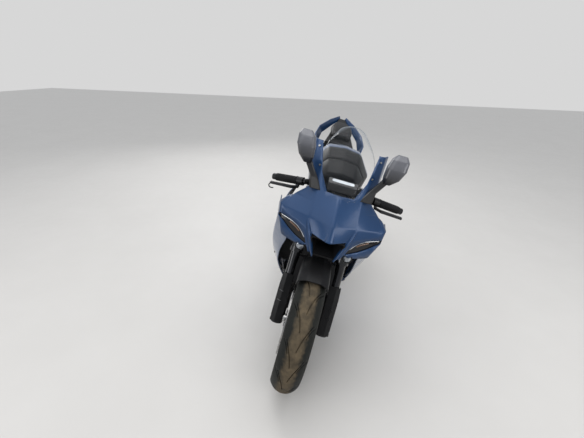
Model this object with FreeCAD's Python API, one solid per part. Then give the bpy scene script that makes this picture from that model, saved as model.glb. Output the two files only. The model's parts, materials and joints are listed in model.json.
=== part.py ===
import FreeCAD, Part
import math
import os
from FreeCAD import Matrix, Placement, Rotation, Vector

# A full-size sport motorcycle parked on its side stand.
# Everything is drawn on the upright machine, in millimetres: x to the rider's left, y to the rear,
# z up, with the origin on the ground under the front axle. The last section turns the fork to the
# parked steering angle, leans the machine on its stand and puts the origin on the floor, at the
# bottom centre of the whole.

# Driving dimensions of the chassis
wheelbase = 1405.0
rake = 24.0
trail = 102.0
lean_angle = 12.5
parked_steer = -3.5
running_gap = 0.08
side_gap = 0.3
moving_gap = 5.0
panel = 4.0

# Front wheel and tyre
front_radius = 300.0
front_width = 120.0
front_shoulder = 262.0
rim_radius = 230.0
bead_seat = 217.0
front_rim_half = 54.0

# Rear wheel and tyre
rear_radius = 320.0
rear_width = 190.0
rear_shoulder = 268.0
rear_rim_half = 84.0

# Brakes
front_disc_radius = 160.0
front_disc_inner = 124.0
front_disc_x = 62.0
disc_thickness = 5.0
rear_disc_radius = 110.0
rear_disc_inner = 82.0
rear_disc_x = -104.0

# Axles
front_axle_radius = 12.5
rear_axle_radius = 14.0
axle_bore = 9.0
front_hub_half = 58.0
rear_hub_half = 96.0

# Fork and steering
fork_spacing = 214.0
slider_radius = 21.5
outer_tube_radius = 27.0
slider_foot = -28.0
outer_tube_start = 318.0
fork_top = 654.0
lower_yoke_at = 438.0
upper_yoke_at = 588.0
yoke_thickness = 26.0
stem_radius = 16.0
stem_bore = 8.0
head_tube_radius = 34.0

# Chain drive
chain_x = 113.0
chain_pitch = 15.875
rear_teeth = 41
front_teeth = 16
output_y = 768.0
output_z = 392.0
chain_half_width = 10.0

# Swingarm
pivot_y = 838.0
pivot_z = 368.0
pivot_shaft_radius = 10.0
axle_z = rear_radius

# Side stand: its pivot, and its leg down on the floor and folded back
stand_pivot = Vector(136, 868, 262)
stand_pin = 8.0
stand_gap = 12.0
stand_foot_x = 281.0
stand_foot_y = 802.0
stand_leg_radius = 11.0
stand_down = Vector(145, -66, -198)
stand_folded = Vector(0.30, 0.94, -0.13)
stand_axis = stand_down.cross(stand_folded)
stand_axis.normalize()


# Small geometry helpers

def sin_deg(angle):
    return math.sin(math.radians(angle))


def cos_deg(angle):
    return math.cos(math.radians(angle))


def rounded_wire(points, radii):
    """A closed wire of straight runs, with an arc at each corner."""
    count = len(points)
    if not isinstance(radii, (list, tuple)):
        radii = [radii] * count
    starts = []
    ends = []
    middles = []
    for i, corner in enumerate(points):
        before = points[i - 1] - corner
        after = points[(i + 1) % count] - corner
        half = before.getAngle(after) / 2
        room = 0.45 * min(before.Length, after.Length)
        reach = min(radii[i] / math.tan(half), room)
        radius = reach * math.tan(half)
        before.normalize()
        after.normalize()
        bisector = before + after
        bisector.normalize()
        starts.append(corner + before * reach)
        ends.append(corner + after * reach)
        middles.append(corner + bisector * (radius / math.sin(half) - radius))
    edges = []
    for i in range(count):
        edges.append(Part.Arc(starts[i], middles[i], ends[i]).toShape())
        edges.append(Part.LineSegment(ends[i], starts[(i + 1) % count]).toShape())
    return Part.Wire(edges)


def plain_wire(points):
    return Part.makePolygon(list(points) + [points[0]])


def prism(points, direction, radii=None):
    wire = plain_wire(points) if radii is None else rounded_wire(points, radii)
    return Part.Face(wire).extrude(direction)


def side_prism(outline, x_from, x_to, radii=None):
    """A side-view outline of (y, z) points, from one x to another."""
    points = [Vector(x_from, y, z) for y, z in outline]
    return prism(points, Vector(x_to - x_from, 0, 0), radii)


def plan_prism(outline, z_from, z_to, radii=None):
    """A top-view outline of (x, y) points, from one z to another."""
    points = [Vector(x, y, z_from) for x, y in outline]
    return prism(points, Vector(0, 0, z_to - z_from), radii)


def front_prism(outline, y_from, y_to, radii=None):
    """A front-view outline of (x, z) points, from one y to another."""
    points = [Vector(x, y_from, z) for x, z in outline]
    return prism(points, Vector(0, y_to - y_from, 0), radii)


def mirrored(shape):
    return shape.mirror(Vector(0, 0, 0), Vector(1, 0, 0))


def both_sides(shape):
    return Part.makeCompound([shape, mirrored(shape)])


def fused(shapes):
    first = shapes[0]
    for other in shapes[1:]:
        first = first.fuse(other)
    return first.removeSplitter()


def rod(start, end, radius):
    along = end - start
    return Part.makeCylinder(radius, along.Length, start, along)


def ring(inner, outer, x_from, x_to, centre):
    """A flat ring about the x axis through centre."""
    start = Vector(x_from, centre.y, centre.z)
    along = Vector(1, 0, 0)
    body = Part.makeCylinder(outer, x_to - x_from, start, along)
    hole = Part.makeCylinder(inner, x_to - x_from, start, along)
    return body.cut(hole)


def turned(profile, centre):
    """A closed (x, radius) profile turned round the x axis through centre."""
    points = [Vector(x, centre.y, centre.z + r) for x, r in profile]
    face = Part.Face(plain_wire(points))
    return face.revolve(centre, Vector(1, 0, 0), 360)


def once(maker):
    """Makes a piece the first time it is asked for, and hands out the same one afterwards."""
    kept = []

    def piece():
        if not kept:
            kept.append(maker())
        return kept[0]
    return piece


def largest(shape):
    return max(shape.Solids, key=lambda solid: solid.Volume)


def box_between(x, y, z):
    corner = Vector(x[0], y[0], z[0])
    return Part.makeBox(x[1] - x[0], y[1] - y[0], z[1] - z[0], corner)


def plate_wire(path, thickness, radius):
    """A closed outline round an open path in a plane of constant z: the path, and the same path moved inwards."""
    count = len(path)
    outer = list(path)
    inner = []
    for i, point in enumerate(path):
        before = path[i] - path[i - 1] if i > 0 else path[1] - path[0]
        after = path[i + 1] - path[i] if i < count - 1 else before
        before = Vector(before)
        after = Vector(after)
        before.normalize()
        after.normalize()
        side_a = Vector(-before.y, before.x, 0)
        side_b = Vector(-after.y, after.x, 0)
        middle = side_a + side_b
        middle.normalize()
        inner.append(point + middle * (thickness / middle.dot(side_a)))
    small = 0.3 * abs(thickness)
    outer_radii = [small] + [radius] * (count - 2) + [small]
    inner_radii = [small] + [max(radius - abs(thickness), small)] * (count - 2) + [small]
    return rounded_wire(outer + inner[::-1], outer_radii + inner_radii[::-1])


def loft(wires, ruled=False):
    return Part.makeLoft(wires, True, ruled)


front_axle = Vector(0, 0, front_radius)
rear_axle = Vector(0, wheelbase, axle_z)
fork_up = Vector(0, sin_deg(rake), cos_deg(rake))
fork_back = Vector(0, cos_deg(rake), -sin_deg(rake))
fork_offset = front_radius * sin_deg(rake) - trail * cos_deg(rake)
half_fork = fork_spacing / 2


def on_fork(x, along, back=0.0):
    """A point by its distance up the fork from the axle and its distance behind the fork's line."""
    return Vector(x, 0, front_radius) + fork_up * along + fork_back * back


# Wheels

def tyre(centre, radius, width, shoulder, rim_half):
    """A tyre section with a round crown, sidewalls that bulge over the rim and a bead on its seat."""
    bead = rim_half - 8
    half = width / 2
    base = bead_seat
    lift = centre.z

    def at(x, r):
        return Vector(x, centre.y, lift + r)

    bulge = (shoulder + rim_radius) / 2
    edges = [
        Part.LineSegment(at(-bead, base), at(-bead, rim_radius + 2)).toShape(),
        Part.Arc(at(-bead, rim_radius + 2), at(-half * 0.93, bulge), at(-half, shoulder)).toShape(),
        Part.Arc(at(-half, shoulder), at(0, radius), at(half, shoulder)).toShape(),
        Part.Arc(at(half, shoulder), at(half * 0.93, bulge), at(bead, rim_radius + 2)).toShape(),
        Part.LineSegment(at(bead, rim_radius + 2), at(bead, base)).toShape(),
        Part.LineSegment(at(bead, base), at(-bead, base)).toShape(),
    ]
    return Part.Face(Part.Wire(edges)).revolve(centre, Vector(1, 0, 0), 360)


def wheel(centre, rim_half, hub_half, bore, hub_radius, spoke_half):
    """A cast wheel: a barrel with two flanges and a drop centre, a hub, and five pairs of spokes."""
    w = rim_half
    barrel = turned([
        (-w, rim_radius), (-w + 5, rim_radius), (-w + 8, bead_seat), (-w * 0.62, bead_seat),
        (-w * 0.4, 196), (w * 0.4, 196), (w * 0.62, bead_seat), (w - 8, bead_seat),
        (w - 5, rim_radius), (w, rim_radius), (w, bead_seat - 3), (w * 0.62, 204),
        (w * 0.42, 188), (-w * 0.42, 188), (-w * 0.62, 204), (-w, bead_seat - 3)], centre)
    hub = turned([
        (-hub_half, bore), (-hub_half, hub_radius - 8), (-spoke_half - 14, hub_radius - 6),
        (-spoke_half, hub_radius), (spoke_half, hub_radius), (spoke_half + 14, hub_radius - 6),
        (hub_half, hub_radius - 8), (hub_half, bore)], centre)
    solids = [barrel, hub]
    for pair in range(5):
        for side in (-1, 1):
            inner_angle = 72 * pair + side * 10
            outer_angle = 72 * pair + side * 17
            sections = []
            for r, angle, half_x, half_t in (
                (hub_radius - 6, inner_angle, spoke_half, 12), (120, (inner_angle + outer_angle) / 2, spoke_half - 5, 8),
                (190.5, outer_angle, spoke_half - 7, 9)):
                out = Vector(0, sin_deg(angle), cos_deg(angle))
                across = Vector(0, cos_deg(angle), -sin_deg(angle))
                middle = centre + out * r
                corners = [middle + Vector(half_x, 0, 0) + across * half_t,
                           middle + Vector(half_x, 0, 0) - across * half_t,
                           middle - Vector(half_x, 0, 0) - across * half_t,
                           middle - Vector(half_x, 0, 0) + across * half_t]
                sections.append(rounded_wire(corners, 5))
            solids.append(loft(sections, True))
    return fused(solids)


def brake_disc(centre, x_from, inner, outer, hub_radius, hub_x):
    """A brake ring on a dished carrier with ten windows."""
    band = ring(inner, outer, x_from, x_from + disc_thickness, centre)
    carrier = ring(hub_radius, inner + 4, x_from + 0.5, x_from + disc_thickness - 0.5, centre)
    window_radius = (inner - hub_radius) * 0.2
    at = (inner + hub_radius) / 2
    for i in range(10):
        angle = 36 * i
        middle = Vector(x_from - 1, centre.y + at * sin_deg(angle), centre.z + at * cos_deg(angle))
        carrier = carrier.cut(Part.makeCylinder(window_radius, disc_thickness + 2, middle, Vector(1, 0, 0)))
    collar = ring(hub_radius, hub_radius + 8, min(hub_x, x_from), max(hub_x, x_from + 1), centre)
    return fused([band, carrier, collar])


def sprocket(centre, teeth, x_middle, tip_radius, hub_radius):
    """A toothed plate that turns inside the chain's plates."""
    half = 3.0
    step = 360.0 / teeth
    points = []
    for i in range(teeth):
        for share, r in ((0.0, tip_radius - 6), (0.35, tip_radius), (0.65, tip_radius)):
            angle = step * (i + share)
            points.append(Vector(x_middle - half, centre.y + r * sin_deg(angle), centre.z + r * cos_deg(angle)))
    star = prism(points, Vector(2 * half, 0, 0))
    star = star.cut(Part.makeCylinder(hub_radius, 4 * half, Vector(x_middle - 2 * half, centre.y, centre.z), Vector(1, 0, 0)))
    for i in range(5):
        angle = 72 * i
        at = (hub_radius + tip_radius) / 2
        middle = Vector(x_middle - 2 * half, centre.y + at * sin_deg(angle), centre.z + at * cos_deg(angle))
        star = star.cut(Part.makeCylinder(15, 4 * half, middle, Vector(1, 0, 0)))
    return star


def make_front_wheel():
    return wheel(front_axle, front_rim_half, front_hub_half, front_axle_radius + running_gap, 38, 17)


def make_rear_wheel():
    return wheel(rear_axle, rear_rim_half, rear_hub_half, rear_axle_radius + running_gap, 48, 22)


def make_front_tyre():
    return tyre(front_axle, front_radius, front_width, front_shoulder, front_rim_half)


def make_rear_tyre():
    return tyre(rear_axle, rear_radius, rear_width, rear_shoulder, rear_rim_half)


def make_front_discs():
    disc = brake_disc(front_axle, front_disc_x, front_disc_inner, front_disc_radius, 24, front_hub_half)
    return both_sides(disc)


def make_rear_disc():
    return brake_disc(rear_axle, rear_disc_x, rear_disc_inner, rear_disc_radius, 28, -rear_hub_half)


rear_pitch_radius = chain_pitch / (2 * sin_deg(180.0 / rear_teeth))
front_pitch_radius = chain_pitch / (2 * sin_deg(180.0 / front_teeth))
roller_radius = 5.0
plate_half = 7.0
plate_waist = 4.8
link_plate = 4.0


def make_rear_sprocket():
    tip = rear_pitch_radius - roller_radius - 1
    plate = sprocket(rear_axle, rear_teeth, chain_x, tip, 40)
    carrier = ring(rear_axle_radius + running_gap, 46, rear_hub_half, chain_x - 2, rear_axle)
    return fused([plate, carrier])


# Chain

def chain_points():
    """The chain's centre line: round the rear sprocket, along the lower run, round the front one and back."""
    a = Vector(chain_x, rear_axle.y, rear_axle.z)
    b = Vector(chain_x, output_y, output_z)
    line = b - a
    distance = line.Length
    tilt = math.degrees(math.atan2(line.z, -line.y))
    spread = math.degrees(math.asin((rear_pitch_radius - front_pitch_radius) / distance))
    return a, b, tilt, spread


def chain_path(a, b, tilt, spread):
    """The pins' places along the loop, a pitch apart, each with the direction of the run there."""
    top = 90 - tilt + spread
    low = -90 - tilt - spread
    run = math.sqrt((b - a).Length ** 2 - (rear_pitch_radius - front_pitch_radius) ** 2)
    rear_arc = math.radians(top - low) * rear_pitch_radius
    front_arc = math.radians(360 - (top - low)) * front_pitch_radius
    pins = 2 * round((2 * run + rear_arc + front_arc) / chain_pitch / 2)
    step = (2 * run + rear_arc + front_arc) / pins

    def on_circle(centre, radius, angle):
        return Vector(chain_x, centre.y + radius * cos_deg(angle), centre.z + radius * sin_deg(angle))

    places = []
    for i in range(pins):
        s = i * step
        if s < rear_arc:
            places.append(on_circle(a, rear_pitch_radius, top - math.degrees(s / rear_pitch_radius)))
            continue
        s -= rear_arc
        start, end = on_circle(a, rear_pitch_radius, low), on_circle(b, front_pitch_radius, low)
        if s < run:
            places.append(start + (end - start) * (s / run))
            continue
        s -= run
        if s < front_arc:
            places.append(on_circle(b, front_pitch_radius, low - math.degrees(s / front_pitch_radius)))
            continue
        s -= front_arc
        start, end = on_circle(b, front_pitch_radius, top), on_circle(a, rear_pitch_radius, top)
        places.append(start + (end - start) * (s / run))
    return places


def link_row(places, x):
    """One row of side plates: full height at each pin, waisted between pins."""
    outer, inner = [], []
    for i, pin in enumerate(places):
        before, after = places[i - 1], places[(i + 1) % len(places)]
        for middle, direction, half in ((pin, after - before, plate_half), ((pin + after) / 2, after - pin, plate_waist)):
            direction.normalize()
            across = Vector(0, -direction.z, direction.y) * half
            outer.append(middle + across)
            inner.append(middle - across)
    outside, inside = [prism([Vector(x, p.y, p.z) for p in points], Vector(link_plate, 0, 0)) for points in (outer, inner)]
    return outside.cut(inside)


def make_chain():
    """The links round both sprockets: two rows of waisted side plates with a six-sided roller at each pin."""
    places = chain_path(*chain_points())
    rollers = []
    for pin in places:
        corners = [pin + Vector(-chain_half_width, roller_radius * cos_deg(60 * k), roller_radius * sin_deg(60 * k)) for k in range(6)]
        rollers.append(prism(corners, Vector(2 * chain_half_width, 0, 0)))
    rows = [link_row(places, chain_x - chain_half_width), link_row(places, chain_x + chain_half_width - link_plate)]
    return rows[0].fuse(rollers + [rows[1]])


# Fork, yokes and controls

@once
def make_fork_legs():
    """One leg: a bright slider in a wider outer tube, with the axle clamp at its foot."""
    foot = on_fork(half_fork, slider_foot)
    slider = rod(foot, on_fork(half_fork, outer_tube_start + 60), slider_radius)
    outer = rod(on_fork(half_fork, outer_tube_start), on_fork(half_fork, fork_top), outer_tube_radius)
    seal = rod(on_fork(half_fork, outer_tube_start - 8), on_fork(half_fork, outer_tube_start + 14), outer_tube_radius + 2.5)
    clamp = rod(Vector(half_fork - 24, 0, front_radius), Vector(half_fork + 26, 0, front_radius), 27)
    shoe = rod(on_fork(half_fork, slider_foot), on_fork(half_fork, 96), 26)
    cap = rod(on_fork(half_fork, fork_top), on_fork(half_fork, fork_top + 9), 15)
    leg = fused([slider, outer, seal, clamp, shoe, cap])
    bore = rod(Vector(0, 0, front_radius), Vector(200, 0, front_radius), front_axle_radius)
    return both_sides(leg.cut(bore))


@once
def make_front_axle():
    half = half_fork + 30
    tube = ring(axle_bore, front_axle_radius, -half, half, front_axle)
    head = ring(axle_bore, front_axle_radius + 5, half - 4, half, front_axle)
    inner = front_hub_half + side_gap
    outer = half_fork - 27
    spacers = [ring(front_axle_radius - 1, 19, inner, outer, front_axle), ring(front_axle_radius - 1, 19, -outer, -inner, front_axle)]
    return fused([tube, head] + spacers)


def yoke(along, thickness, reach_back):
    """A fork yoke: a plate with two fork clamps, cut back between them, and a boss round the stem."""
    r = outer_tube_radius + 9
    outline = [(-half_fork - r, -r * 0.7), (-half_fork + r * 0.2, -r), (-40, -r * 0.45), (40, -r * 0.45),
               (half_fork - r * 0.2, -r), (half_fork + r, -r * 0.7), (half_fork + r, r * 0.7), (half_fork, r),
               (44, reach_back), (-44, reach_back), (-half_fork, r), (-half_fork - r, r * 0.7)]
    points = [on_fork(x, along, back) for x, back in outline]
    plate = prism(points, fork_up * thickness, 10)
    for x in (-half_fork, half_fork):
        plate = plate.cut(rod(on_fork(x, along - 1), on_fork(x, along + thickness + 1), outer_tube_radius))
    return plate


def make_yokes():
    lower = yoke(lower_yoke_at, yoke_thickness, fork_offset + 24)
    upper = yoke(upper_yoke_at, yoke_thickness - 6, fork_offset + 22)
    stem = rod(on_fork(0, lower_yoke_at, fork_offset), on_fork(0, upper_yoke_at + 22, fork_offset), stem_radius)
    nut = rod(on_fork(0, upper_yoke_at + 19, fork_offset), on_fork(0, upper_yoke_at + 32, fork_offset), 20)
    body = fused([lower, upper, stem, nut])
    hole = rod(on_fork(0, lower_yoke_at - 1, fork_offset), on_fork(0, lower_yoke_at + 60, fork_offset), stem_bore)
    return body.cut(hole)


bar_clamp_at = 633.0
bar_radius = 11.0
bar_inner = Vector(150, 240, 877)
bar_outer = Vector(305, 300, 842)
grip_radius = 17.0


def along_bar(distance, back=0.0, down=0.0):
    """A point by its distance from the bar's inner end."""
    along = bar_outer - bar_inner
    along.normalize()
    return bar_inner + along * distance + Vector(0, back, -down)


@once
def make_handlebars():
    """A clip-on: a split clamp on the fork tube below the upper yoke, a bar, the switch housing and the end weight."""
    clamp = rod(on_fork(half_fork, bar_clamp_at - 18), on_fork(half_fork, bar_clamp_at + 18), outer_tube_radius + 8)
    arm = rod(on_fork(half_fork + 24, bar_clamp_at, 0), along_bar(14), 13)
    bar = rod(along_bar(0), along_bar(160), bar_radius)
    switch = rod(along_bar(12), along_bar(42), 19)
    weight = rod(along_bar(158), along_bar(174), 15)
    body = fused([clamp, arm, bar, switch, weight])
    body = body.cut(rod(on_fork(half_fork, bar_clamp_at - 90), on_fork(half_fork, bar_clamp_at + 60), outer_tube_radius))
    return both_sides(body)


def make_grips():
    grip = rod(along_bar(44), along_bar(156), grip_radius)
    grip = grip.cut(rod(along_bar(0), along_bar(170), bar_radius))
    return both_sides(grip)


def make_levers():
    """A perch on the bar and a blade ahead of the grip that ends past it."""
    neck = rod(along_bar(34, -4, 12), along_bar(34, -12, 24), 7)
    blade = []
    for point, depth, height in ((along_bar(29, -11, 25), 7, 5), (along_bar(66, -36, 22), 8, 6), (along_bar(174, -54, 13), 6, 6)):
        blade.append(rounded_wire([point + Vector(0, -depth, -height), point + Vector(0, depth, -height),
                                   point + Vector(0, depth, height), point + Vector(0, -depth, height)], 3))
    lever = loft(blade, True)
    return both_sides(largest(fused([neck, lever]).cut(make_handlebars())))


fender_gap = 14.0
fender_thickness = 4.0
fender_half = 68.0
axle_hole_radius = 24.0


@once
def make_front_fender():
    """A hugger over the tyre, held between the fork legs."""
    r = front_radius + fender_gap
    profile_outer = [(-fender_half, r - 46), (-fender_half + 6, r - 12), (-30, r + 4), (30, r + 4),
                     (fender_half - 6, r - 12), (fender_half, r - 46)]
    t = fender_thickness
    profile_inner = [(fender_half - t, r - 46), (fender_half - 6 - t, r - 14), (28, r), (-28, r),
                     (-fender_half + 6 + t, r - 14), (-fender_half + t, r - 46)]
    points = [Vector(x, 0, front_radius + rr) for x, rr in profile_outer + profile_inner]
    wire = rounded_wire(points, [2, 14, 24, 24, 14, 2, 2, 10, 20, 20, 10, 2])
    face = Part.Face(wire)
    sweep = face.revolve(front_axle, Vector(1, 0, 0), -92)
    sweep.rotate(front_axle, Vector(1, 0, 0), 18)
    return sweep


def make_fork_guards():
    """A long shield ahead of each slider, held by a block on its foot and tied to the fender."""
    sections = []
    for along, half, front in ((-20, 31, -31), (60, 31, -32), (150, 31, -31), (205, 28, -27)):
        outline = [(half_fork - half, -12), (half_fork - half * 0.7, front + 2), (half_fork + half * 0.3, front - 2),
                   (half_fork + half, front + 8), (half_fork + half, 4)]
        t = 3.5
        inner = [(half_fork + half - t, 4), (half_fork + half - t, front + 10), (half_fork + half * 0.25, front + 2),
                 (half_fork - half * 0.7 + 1, front + 2 + t), (half_fork - half + t, -12)]
        sections.append(plain_wire([on_fork(x, along, back) for x, back in outline + inner]))
    shield = loft(sections, True)
    tie_outline = ((172, -22), (210, -24), (296, -12), (296, 36), (238, 34), (172, 2))
    tie = prism([on_fork(fender_half - 3, along, back) for along, back in tie_outline], Vector(24, 0, 0))
    tie = tie.cut(rod(on_fork(half_fork, 100), on_fork(half_fork, 300), slider_radius + 4))
    block = prism([on_fork(half_fork - 9, along, back) for along, back in ((4, -30), (26, -30), (26, -20), (4, -20))], Vector(18, 0, 0))
    axle_hole = rod(Vector(half_fork - 60, 0, front_radius), Vector(half_fork + 60, 0, front_radius), axle_hole_radius)
    guard = fused([shield, tie, block]).cut(make_fork_legs()).cut(make_front_fender()).cut(axle_hole)
    return both_sides(largest(guard))


def make_front_calipers():
    """A four-piston caliper behind the leg, over the edge of the disc."""
    at = Vector(0, 0, front_radius) + fork_up * 78 + fork_back * 112
    outline = [(-62, -26), (62, -26), (62, 14), (30, 26), (-30, 26), (-62, 14)]
    points = []
    for along, out in outline:
        points.append(at + fork_up * along + fork_back * (out))
    body = prism([p + Vector(46, 0, 0) for p in points], Vector(50, 0, 0), 9)
    slot = box_between((front_disc_x - moving_gap, front_disc_x + disc_thickness + moving_gap), (-400, 400), (0, 700))
    keep = Part.makeCylinder(front_disc_radius + moving_gap, 40, Vector(front_disc_x - moving_gap - 0.01, 0, front_radius), Vector(1, 0, 0))
    body = body.cut(slot.common(keep))
    lug = rod(on_fork(half_fork - 6, 20, 10), on_fork(half_fork - 18, 20, 96), 9)
    lug_b = rod(on_fork(half_fork - 6, 90, 10), on_fork(half_fork - 18, 118, 96), 9)
    body = fused([body, lug, lug_b])
    return both_sides(largest(body.cut(make_fork_legs())))


# Main structure

@once
def make_main_frame():
    """Two deep spars from the steering head to the swingarm pivot, tied across at both ends."""
    head_low = on_fork(0, lower_yoke_at + yoke_thickness + 4, fork_offset)
    head_high = on_fork(0, upper_yoke_at - 4, fork_offset)
    head = rod(head_low, head_high, head_tube_radius)
    outline = [(236, 728), (248, 806), (330, 774), (470, 734), (640, 640), (760, 560), (862, 440), (880, 300),
               (840, 262), (800, 290), (778, 400), (700, 470), (560, 560), (430, 640), (330, 696)]
    side = side_prism(outline, 0, 220, 24)
    plan = [(20, 215), (40, 262), (84, 340), (128, 420), (150, 510), (150, 900), (128, 900), (128, 740), (112, 640),
            (116, 510), (98, 434), (54, 352), (14, 290), (8, 290), (8, 215)]
    strip = plan_prism(plan, 200, 900)
    spar = side.common(strip)
    cross = box_between((-130, 130), (745, 800), (470, 498))
    tower = side_prism([(745, 490), (765, 490), (765, 575), (816, 575), (816, 600), (745, 600)], -16, 16, 4)
    low_cross = box_between((-130, 130), (812, 858), (284, 316))
    bracket = box_between((84, 152), (830, 900), (226, 300))
    bracket = bracket.cut(rod(stand_pivot - stand_axis * (stand_gap + 5), stand_pivot + stand_axis * 120, 90))
    stand_room = rod(stand_pivot - stand_axis * (stand_gap + 5), stand_pivot + stand_axis * 60, 26)
    boss = rod(stand_pivot - stand_axis * 30, stand_pivot - stand_axis * stand_gap, 17)
    pin = rod(stand_pivot - stand_axis * 24, stand_pivot + stand_axis * (stand_gap + 4), stand_pin)
    pin_head = rod(stand_pivot + stand_axis * stand_gap, stand_pivot + stand_axis * (stand_gap + 5), stand_pin + 5)
    body = fused([spar, mirrored(spar), head, cross, tower, low_cross, bracket]).cut(stand_room)
    body = fused([body, boss, pin, pin_head])
    stem_hole = rod(on_fork(0, lower_yoke_at, fork_offset), on_fork(0, fork_top, fork_offset), stem_radius + running_gap)
    pivot = rod(Vector(-160, pivot_y, pivot_z), Vector(160, pivot_y, pivot_z), pivot_shaft_radius)
    return body.cut(stem_hole).cut(pivot)


@once
def make_engine():
    """The engine as one block: crankcase, inclined cylinders and the covers at both ends of the crank."""
    case = side_prism([(455, 235), (700, 225), (770, 262), (770, 430), (700, 470), (560, 440), (470, 400)], -140, 140, 22)
    bank = side_prism([(478, 380), (610, 440), (560, 600), (455, 640), (378, 590), (412, 430)], -150, 150, 16)
    left = rod(Vector(130, 560, 330), Vector(164, 560, 330), 72)
    right = rod(Vector(-130, 610, 340), Vector(-168, 610, 340), 80)
    small = rod(Vector(-130, 505, 330), Vector(-158, 505, 330), 44)
    body = fused([case, bank, left, right, small])
    body = body.cut(box_between((96, 200), (712, 800), (200, 480)))
    shaft = rod(Vector(90, output_y, output_z), Vector(chain_x + 6, output_y, output_z), 14)
    pulley = rod(Vector(chain_x - 4, output_y, output_z), Vector(chain_x + 4, output_y, output_z), front_pitch_radius - roller_radius)
    return fused([body.cut(make_main_frame()), shaft, pulley])


def make_radiator():
    """A tilted radiator behind the front wheel with a tank down each side."""
    low = Vector(0, 342, 385)
    high = Vector(0, 308, 640)
    up = high - low
    length = up.Length
    up.normalize()
    back = Vector(0, up.z, -up.y)

    def slab(x0, x1, s0, s1, b0, b1):
        corners = [low + up * s + back * b for s, b in ((s0, b0), (s1, b0), (s1, b1), (s0, b1))]
        return prism([c + Vector(x0, 0, 0) for c in corners], Vector(x1 - x0, 0, 0), 4)

    core = slab(-165, 165, 12, length - 12, 4, 22)
    parts = [core, slab(-190, -160, 0, length, 0, 26), slab(160, 190, 0, length, 0, 26),
             slab(-170, 170, 0, 14, 0, 26), slab(-170, 170, length - 14, length, 0, 26)]
    hangers = [rod(Vector(x, 322, 630), Vector(x, 334, 730), 9) for x in (-92, 92)]
    return largest(fused(parts + hangers).cut(make_main_frame()))


def exhaust_outlet(radius):
    return rod(Vector(-60, 815, 190), Vector(-160, 900, 206), radius)


@once
def make_exhaust():
    """Four headers from the cylinders, down and back into a box under the engine."""
    pipes = []
    for x in (-114, -38, 38, 114):
        x_low = x * 0.62
        path = [Vector(x, 430, 500), Vector(x, 388, 464), Vector(x, 392, 330), Vector(x_low, 440, 215), Vector(x_low, 560, 190)]
        for start, end in zip(path, path[1:]):
            pipes.append(rod(start, end, 19))
        for point in path[1:-1]:
            pipes.append(Part.makeSphere(19, point))
    box = side_prism([(540, 162), (800, 158), (836, 176), (836, 222), (540, 218)], -88, 88, 12)
    return fused(pipes + [box, exhaust_outlet(24)]).cut(make_engine())


def make_silencer():
    """A short silencer low on the right, its section a triangle with rounded corners."""
    sections = []
    for y, z, size in ((880, 206, 0.62), (930, 212, 1.0), (1090, 228, 1.04), (1130, 234, 0.8)):
        points = [Vector(-122, y, z + 50 * size), Vector(-122 - 92 * size, y, z + 40 * size),
                  Vector(-122 - 84 * size, y, z - 36 * size), Vector(-122 - 8 * size, y, z - 50 * size)]
        sections.append(rounded_wire(points, 22 * size))
    body = loft(sections, True)
    tip = rod(Vector(-162, 1125, 234), Vector(-162, 1152, 238), 26)
    hole = rod(Vector(-162, 1112, 232), Vector(-162, 1160, 239), 21)
    return fused([body, tip]).cut(hole).cut(make_exhaust())


@once
def make_swingarm():
    """Two arms that pass inside the chain at the pivot and outside it at the axle, with a truss above."""
    outline = [(808, 394), (870, 412), (960, 470), (1030, 482), (1120, 440), (1260, 372), (1440, 352), (1452, 300), (1430, 286),
               (1250, 292), (1000, 318), (870, 328), (808, 342)]
    side = side_prism(outline, 0, 220, 16)
    window = side_prism([(945, 400), (985, 440), (1030, 446), (1110, 408), (1130, 384), (1010, 388)], -220, 220, 8)
    plan = [(64, 790), (94, 790), (94, 930), (150, 1060), (158, 1180), (158, 1460), (130, 1460), (130, 1180), (124, 1075),
            (64, 960)]
    arm = side.cut(window).common(plan_prism(plan, 200, 600))
    bridge = box_between((-94, 94), (900, 968), (330, 392))
    pivot = rod(Vector(-92, pivot_y, pivot_z), Vector(92, pivot_y, pivot_z), 28)
    ends = rod(Vector(-128, pivot_y, pivot_z), Vector(128, pivot_y, pivot_z), 19)
    body = fused([arm, mirrored(arm), bridge, pivot, ends])
    for z_front, z_rear in ((433, 428), (340, 258)):
        tunnel = [(800, z_front - 14), (1200, z_rear - 14), (1200, z_rear + 14), (800, z_front + 14)]
        body = body.cut(side_prism(tunnel, chain_x - chain_half_width - 5, chain_x + chain_half_width + 4))
    body = largest(body)
    axle_hole = rod(Vector(-200, wheelbase, axle_z), Vector(200, wheelbase, axle_z), rear_axle_radius)
    pivot_hole = rod(Vector(-200, pivot_y, pivot_z), Vector(200, pivot_y, pivot_z), pivot_shaft_radius)
    return body.cut(axle_hole).cut(pivot_hole)


def make_pivot_shaft():
    shaft = rod(Vector(-154, pivot_y, pivot_z), Vector(154, pivot_y, pivot_z), pivot_shaft_radius)
    caps = [rod(Vector(s * 150, pivot_y, pivot_z), Vector(s * 158, pivot_y, pivot_z), 17) for s in (-1, 1)]
    return fused([shaft] + caps)


def make_rear_axle():
    half = 172
    tube = ring(axle_bore, rear_axle_radius, -half, half, rear_axle)
    nut = ring(axle_bore, 22, 160, half, rear_axle)
    head = ring(axle_bore, 22, -half, -160, rear_axle)
    spacer_left = ring(rear_axle_radius - 1, 24, chain_x + 4, 130, rear_axle)
    spacer_right = ring(rear_axle_radius - 1, 24, -130, rear_disc_x - 1, rear_axle)
    return fused([tube, nut, head, spacer_left, spacer_right])


def make_rear_caliper():
    body = side_prism([(1290, 352), (1350, 372), (1376, 412), (1330, 430), (1270, 400)], -132, -88, 8)
    keep = Part.makeCylinder(rear_disc_radius + moving_gap, 15, Vector(rear_disc_x - moving_gap, wheelbase, axle_z), Vector(1, 0, 0))
    return largest(body.cut(keep).cut(make_swingarm()))


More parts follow.
